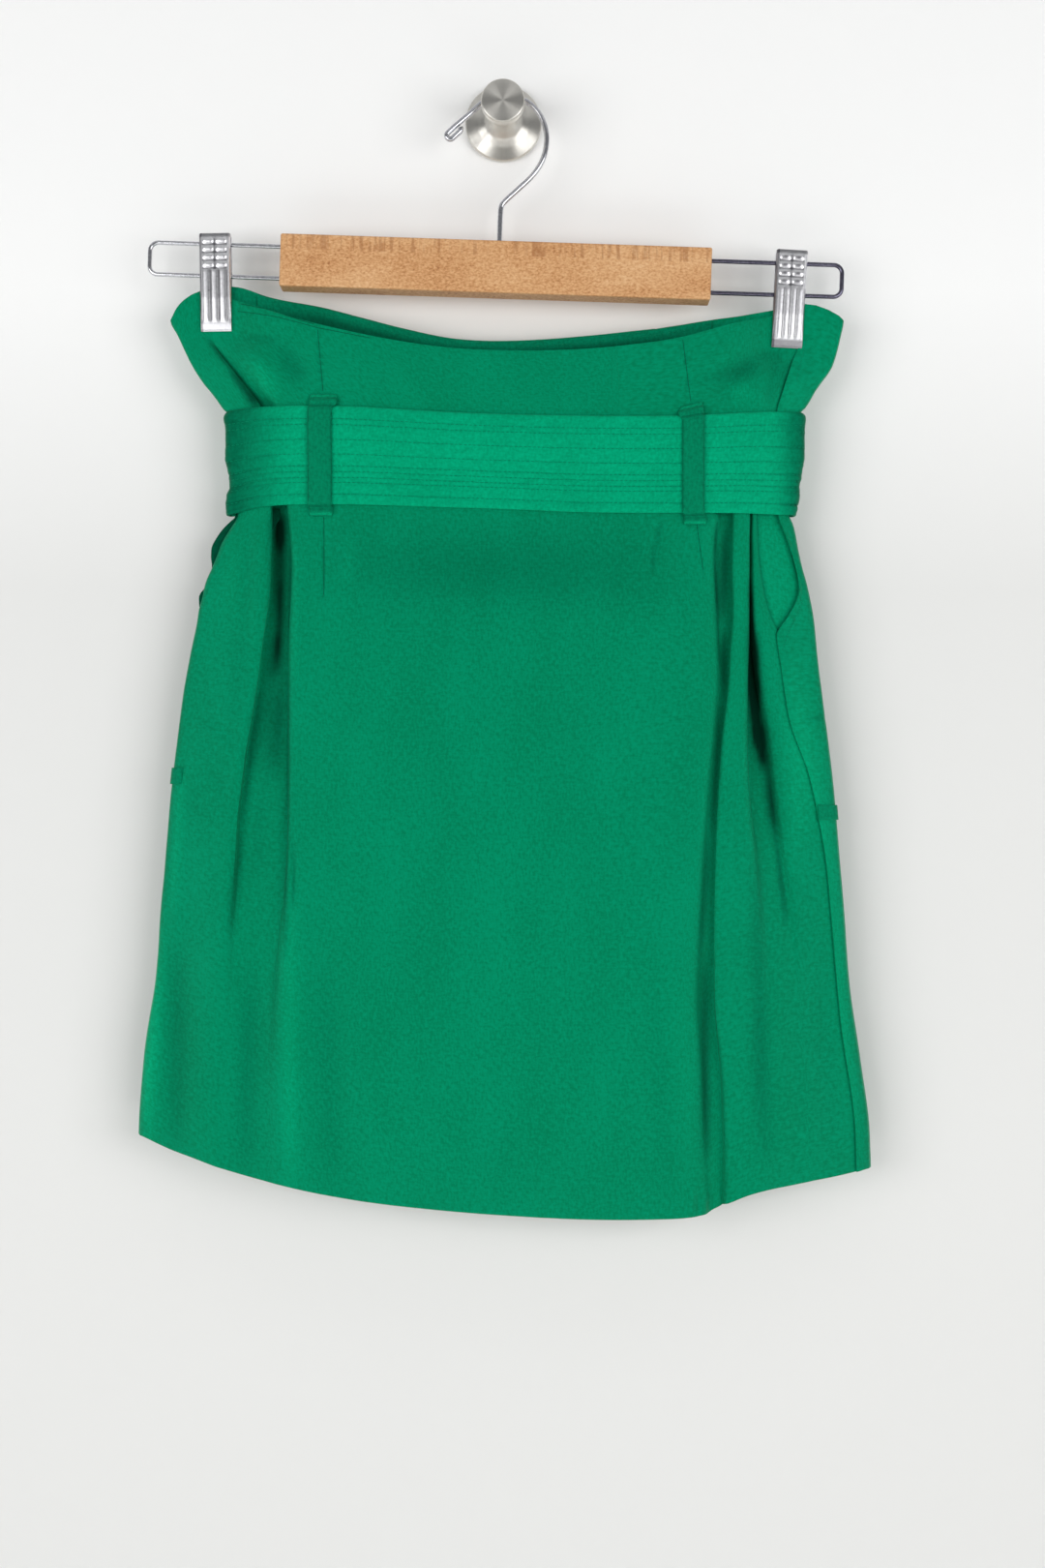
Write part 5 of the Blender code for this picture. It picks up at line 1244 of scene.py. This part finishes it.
clipPiece = {
    "middle": (-170.2, 170.9), "top": (-74.4, -84.2), "lean": (math.radians(-0.9), math.radians(3.4)),
    "sheet": 0.8, "drop": 57.6, "half": 9, "rows": 116, "columns": 56,
    "bumps": ((4.2, 4.7), (4.2, 4.7)),           # the first row's place and the pitch, down the jaw
    "bumpSize": (3, 1.9, 0.7),                # half width, half height, how far out
    "flutes": ((-4.9, 0, 4.9), (-5.7, -1.9, 1.9, 5.7)), "fluteHalf": (1.75, 1.35),
    "fluteSpan": ((21.6, 51.2), (22.6, 51)), "fluteOut": 0.3,
    "springAlong": (-165.5, 172.6), "springRadius": 2.2, "springWire": 0.5, "springTurns": 9,
    "springLength": 10.6, "springSteps": 18,
    "bumpColumns": (-3.9, 3.9), "bumpRows": 4, "flange": (1.7, 8.1, 9.0),      # how far in, and between which x
    "curl": (0.35, 56.2, 57.6),                  # the same at its foot
}
sheetOut = makeTable("drop y flange", [
    (0, -28.7, 1), (2.6, -28.9, 1), (20.4, -28.9, 1), (38, -28.8, 0.8), (51, -28.1, 0.1), (53.4, -28, 0),
    (57.6, -27.4, 0)])


def clipGrid(k):                       # the pressed plate before it is put in its place: x, y and drop, and its painted reflection
    c = clipPiece
    across, drop = np.meshgrid(np.linspace(-c["half"], c["half"], c["columns"]),
                               np.linspace(0.0, c["drop"], c["rows"]))
    first, pitch = c["bumps"][k]
    halfWide, halfHigh, rise = c["bumpSize"]
    top, foot = c["fluteSpan"][k]
    fluteHalf = c["fluteHalf"][k]
    places = [(column, first + row * pitch) for row in range(c["bumpRows"]) for column in c["bumpColumns"]]
    out = np.zeros_like(across)
    for column, low in places:
        away = ((across - column) / halfWide) ** 4 + ((drop - low) / halfHigh) ** 2
        out += rise * np.sqrt(np.clip(1 - away, 0.0, 1.0))
    ends = smoothStep(drop, top - 1.0, top + 1.2) * smoothStep(drop, foot + 1.4, foot - 0.6)
    for centre in c["flutes"][k]:
        out += c["fluteOut"] * ends * np.sqrt(np.clip(1 - ((across - centre) / fluteHalf) ** 2, 0.0, 1.0))
    flange = c["flange"][0] * smoothStep(np.abs(across), *c["flange"][1:])
    flange = flange * np.interp(drop, sheetOut["key"], sheetOut["flange"])
    curl = c["curl"][0] * smoothStep(drop, *c["curl"][1:])
    y = np.interp(drop, sheetOut["key"], sheetOut["y"]) + flange - out + curl
    # painted reflection, where the plate is grey: the top rim, the left side, beside the bumps, between the flutes
    shade = 0.55 * smoothStep(drop, 2.6, 1.6) + 0.62 * smoothStep(across, -7.4, -8.0)
    onBumps = smoothStep(drop, 2.6, 3.4) * smoothStep(drop, top + 0.4, top - 0.8)
    shade += onBumps * 0.6 * bell(across, -0.1, 0.6)
    onFlutes = smoothStep(drop, top - 0.6, top + 0.6) * smoothStep(drop, foot + 1.0, foot - 0.4)
    for row in range(c["bumpRows"]):
        shade += onBumps * 0.8 * bell(drop, first + (row + 0.5) * pitch, 0.5) * (across > -7.4) * (across < 7.2)
    ridge = np.zeros_like(across)
    for centre in c["flutes"][k]:
        ridge = np.maximum(ridge, 1 - np.abs(across - centre) / (fluteHalf + 0.35))
        if k == 0:
            shade += onFlutes * 0.34 * smoothStep(across, centre + 0.1, centre + 0.8) * (across < centre + 1.9)
    between = onFlutes * smoothStep(np.abs(across), 7.6, 7.0) * smoothStep(ridge, 0.28, 0.05)
    shade += between * (0.66 if k == 0 else 0.55)
    if k == 1:                         # painted reflection: the right clip's bumps and foot are grey too
        for column, low in places:
            shade += 0.75 * np.exp(-(((across - column) / 1.7) ** 2 + ((drop - low - 0.5) / 0.8) ** 2) ** 2)
        shade += 0.6 * smoothStep(drop, 52.6, 53.6) + 0.3 * onFlutes * smoothStep(across, 7.2, 7.8)
    return np.stack([across, y, -drop], axis=2), np.clip(shade, 0.0, 0.85)


def makeClip(k, side):
    c = clipPiece
    place = Matrix.Translation(Vector((c["middle"][k], 0, c["top"][k]))) @ Matrix.Rotation(c["lean"][k], 4, "Y")
    local, shade = clipGrid(k)
    turned = np.array([place @ Vector(p) for p in local.reshape(-1, 3)]).reshape(local.shape)
    piece = gridPiece("clipFront" + side, turned, shade=shade)
    addShell(piece, "sheet", c["sheet"])
    addBevel(piece, "deburred edge", 0.15, 1, 70)
    closePiece(piece, clipLook, 60, "clip_%s_front" % side.lower())
    repaint("clip_%s_rear" % side.lower(), clipLook)
    steps, radius = c["springTurns"] * c["springSteps"], c["springRadius"]
    coil = []
    for i in range(steps + 1):
        a = 2 * math.pi * i / c["springSteps"]
        coil.append(barFrame @ Vector((c["springAlong"][k] + c["springLength"] * (i / steps - 0.5),
                                       radius * math.cos(a), -hangerPiece["armHalf"] + radius * math.sin(a))))
    wirePiece("clipSpring" + side, coil, c["springWire"], wireLook, "clip_%s_spring" % side.lower(), 8)


makeClip(0, "Left")
makeClip(1, "Right")
print("clips made")

# the wall peg, turned: a wide foot, a thin neck and a flat round head
pegPiece = {
    "steps": 120, "capRadii": (9, 6, 3, 1, 0.12), "softCorner": 0.25,
    "profile": makeTable("out radius", [
        (0, 0), (0, 22.2), (0.7, 23), (2.6, 23), (3.3, 22.3), (3.9, 20), (5.2, 15.6), (7.4, 11.6), (10.6, 8.8),
        (15, 7.2), (21, 6.4), (29, 6.2), (32.6, 6.8), (33.4, 11.8), (34.2, 12.8), (39.2, 12.8), (40, 12.1),
        (40, 0)]),
}


def makePeg():
    out, radius = pegPiece["profile"]["out"], pegPiece["profile"]["radius"]
    line = [(out[0], radius[0]), (out[1], radius[1])]
    for k in range(2, len(out) - 1):             # more points between the turned lengths
        line += [(lerp(out[k - 1], out[k], t), lerp(radius[k - 1], radius[k], t)) for t in (0.25, 0.5, 0.75, 1.0)]
    line += [(out[-1], r) for r in pegPiece["capRadii"]]
    turn = np.linspace(0.0, 2 * math.pi, pegPiece["steps"] + 1)
    grid = np.array([[(r * math.cos(a), -o, r * math.sin(a)) for o, r in line] for a in turn])
    length = travelled(np.hypot(*np.diff(np.array(line), axis=0).T))
    piece = gridPiece("wallPeg", grid, np.stack(np.meshgrid(length * mm, turn / (2 * math.pi)), axis=2))
    weld(0.00001, openEnds=True)
    addBevel(piece, "turned corners", pegPiece["softCorner"], 3, 35)
    closePiece(piece, steelLook, 30, "wall_peg")


makePeg()
print("peg made")

# the wall behind, a floor out of view, the lights and the camera
studio = {
    "wallColour": ("#e8e8e6", "#fdfdfc"), "wallSpan": (-0.88, -0.70),     # painted light: a little lighter at the top
    "planeSize": 6.0, "planes": (      # name, place and turn, in metres as all that follows
        ("stageWall", (0, 0.0012, 0.6), (math.pi / 2, 0, 0)), ("stageFloor", (0, -3.0, -1.3), (0, 0, 0))),
    "lights": (                        # name, place, what it is turned to, size, power
        ("softLightLeft", (-1.05, -1.35, -0.33), (0, 0, -0.38), (1.3, 0.85), 11.9),
        ("softLightRight", (1.05, -1.35, -0.33), (0, 0, -0.38), (1.3, 0.85), 11.9),
        ("softLightTop", (0, -0.6, 0.55), (0, 0, 0.05), (1.7, 0.3), 1.0),
        ("softLightLow", (0, -1.0, -1.2), (0, 0, -0.2), (1.7, 0.4), 2.0)),
    "worldColour": "#f4f6f8", "worldPower": 0.245, "lens": 41.71, "sensor": 36.0, "nearest": 0.02,
}


def wallMaterial():
    # wall paint on plaster, matt; seen from its front only, so that the skirt's front shows from behind
    material, shader = newMaterial("painted wall, matt")
    where = addNode(material, "TexCoord")
    parts = addNode(material, "SeparateXYZ", links={"Vector": (where, "Object")})
    low, high = studio["wallSpan"]
    height = addNode(material, "MapRange", {"in:From Min": low, "in:From Max": high}, {"Value": (parts, "Y")})
    # painted light: the wall's colour lightens towards the top
    tint = addNode(material, "ValToRGB", {"stops": tuple(zip((0.0, 1.0), studio["wallColour"]))},
                   {"Fac": (height, "Result")})
    setNode(material, shader, {"in:Roughness": 0.95, "in:Specular IOR Level": 0.1}, {"Base Color": (tint, "Color")})
    facing = addNode(material, "NewGeometry")
    clear = addNode(material, "BsdfTransparent")
    mix = addNode(material, "MixShader", links={0: (facing, "Backfacing"), 1: (shader, "BSDF"), 2: (clear, "BSDF")})
    output = material.node_tree.nodes["Material Output"]
    material.node_tree.links.new(mix.outputs[0], output.inputs["Surface"])
    return material


def makePlane(name, place, turn):
    deselectAll()
    bpy.ops.mesh.primitive_plane_add(size=studio["planeSize"], location=place, rotation=turn)
    plane = bpy.context.object
    plane.name = name
    return plane


def makeStage():
    look = wallMaterial()
    wall, floor = [makePlane(*row) for row in studio["planes"]]
    for plane in (wall, floor):
        plane.data.materials.append(look)


def makeLight(name, place, target, size, power):
    deselectAll()
    bpy.ops.object.light_add(type="AREA", location=place)
    lamp = bpy.context.object
    lamp.name = name
    lamp.data.shape = "RECTANGLE"
    lamp.data.size, lamp.data.size_y = size
    lamp.data.energy = power
    lamp.rotation_euler = (Vector(target) - Vector(place)).to_track_quat("-Z", "Y").to_euler()


def makeCamera():
    deselectAll()
    bpy.ops.object.camera_add(location=[v * mm for v in photo["camera"]], rotation=(math.pi / 2, 0, 0))
    camera = bpy.context.object
    camera.data.lens, camera.data.sensor_width = studio["lens"], studio["sensor"]
    camera.data.clip_start = studio["nearest"]
    bpy.context.scene.camera = camera


makeStage()
for light in studio["lights"]:
    makeLight(*light)
world = bpy.data.worlds.new("studio")
bpy.context.scene.world = world
world.use_nodes = True
sky = world.node_tree.nodes["Background"].inputs
sky["Color"].default_value = (*linear(studio["worldColour"]), 1.0)
sky["Strength"].default_value = studio["worldPower"]
makeCamera()
bpy.context.scene.view_settings.view_transform = "Standard"
print("stage, lights and camera set")
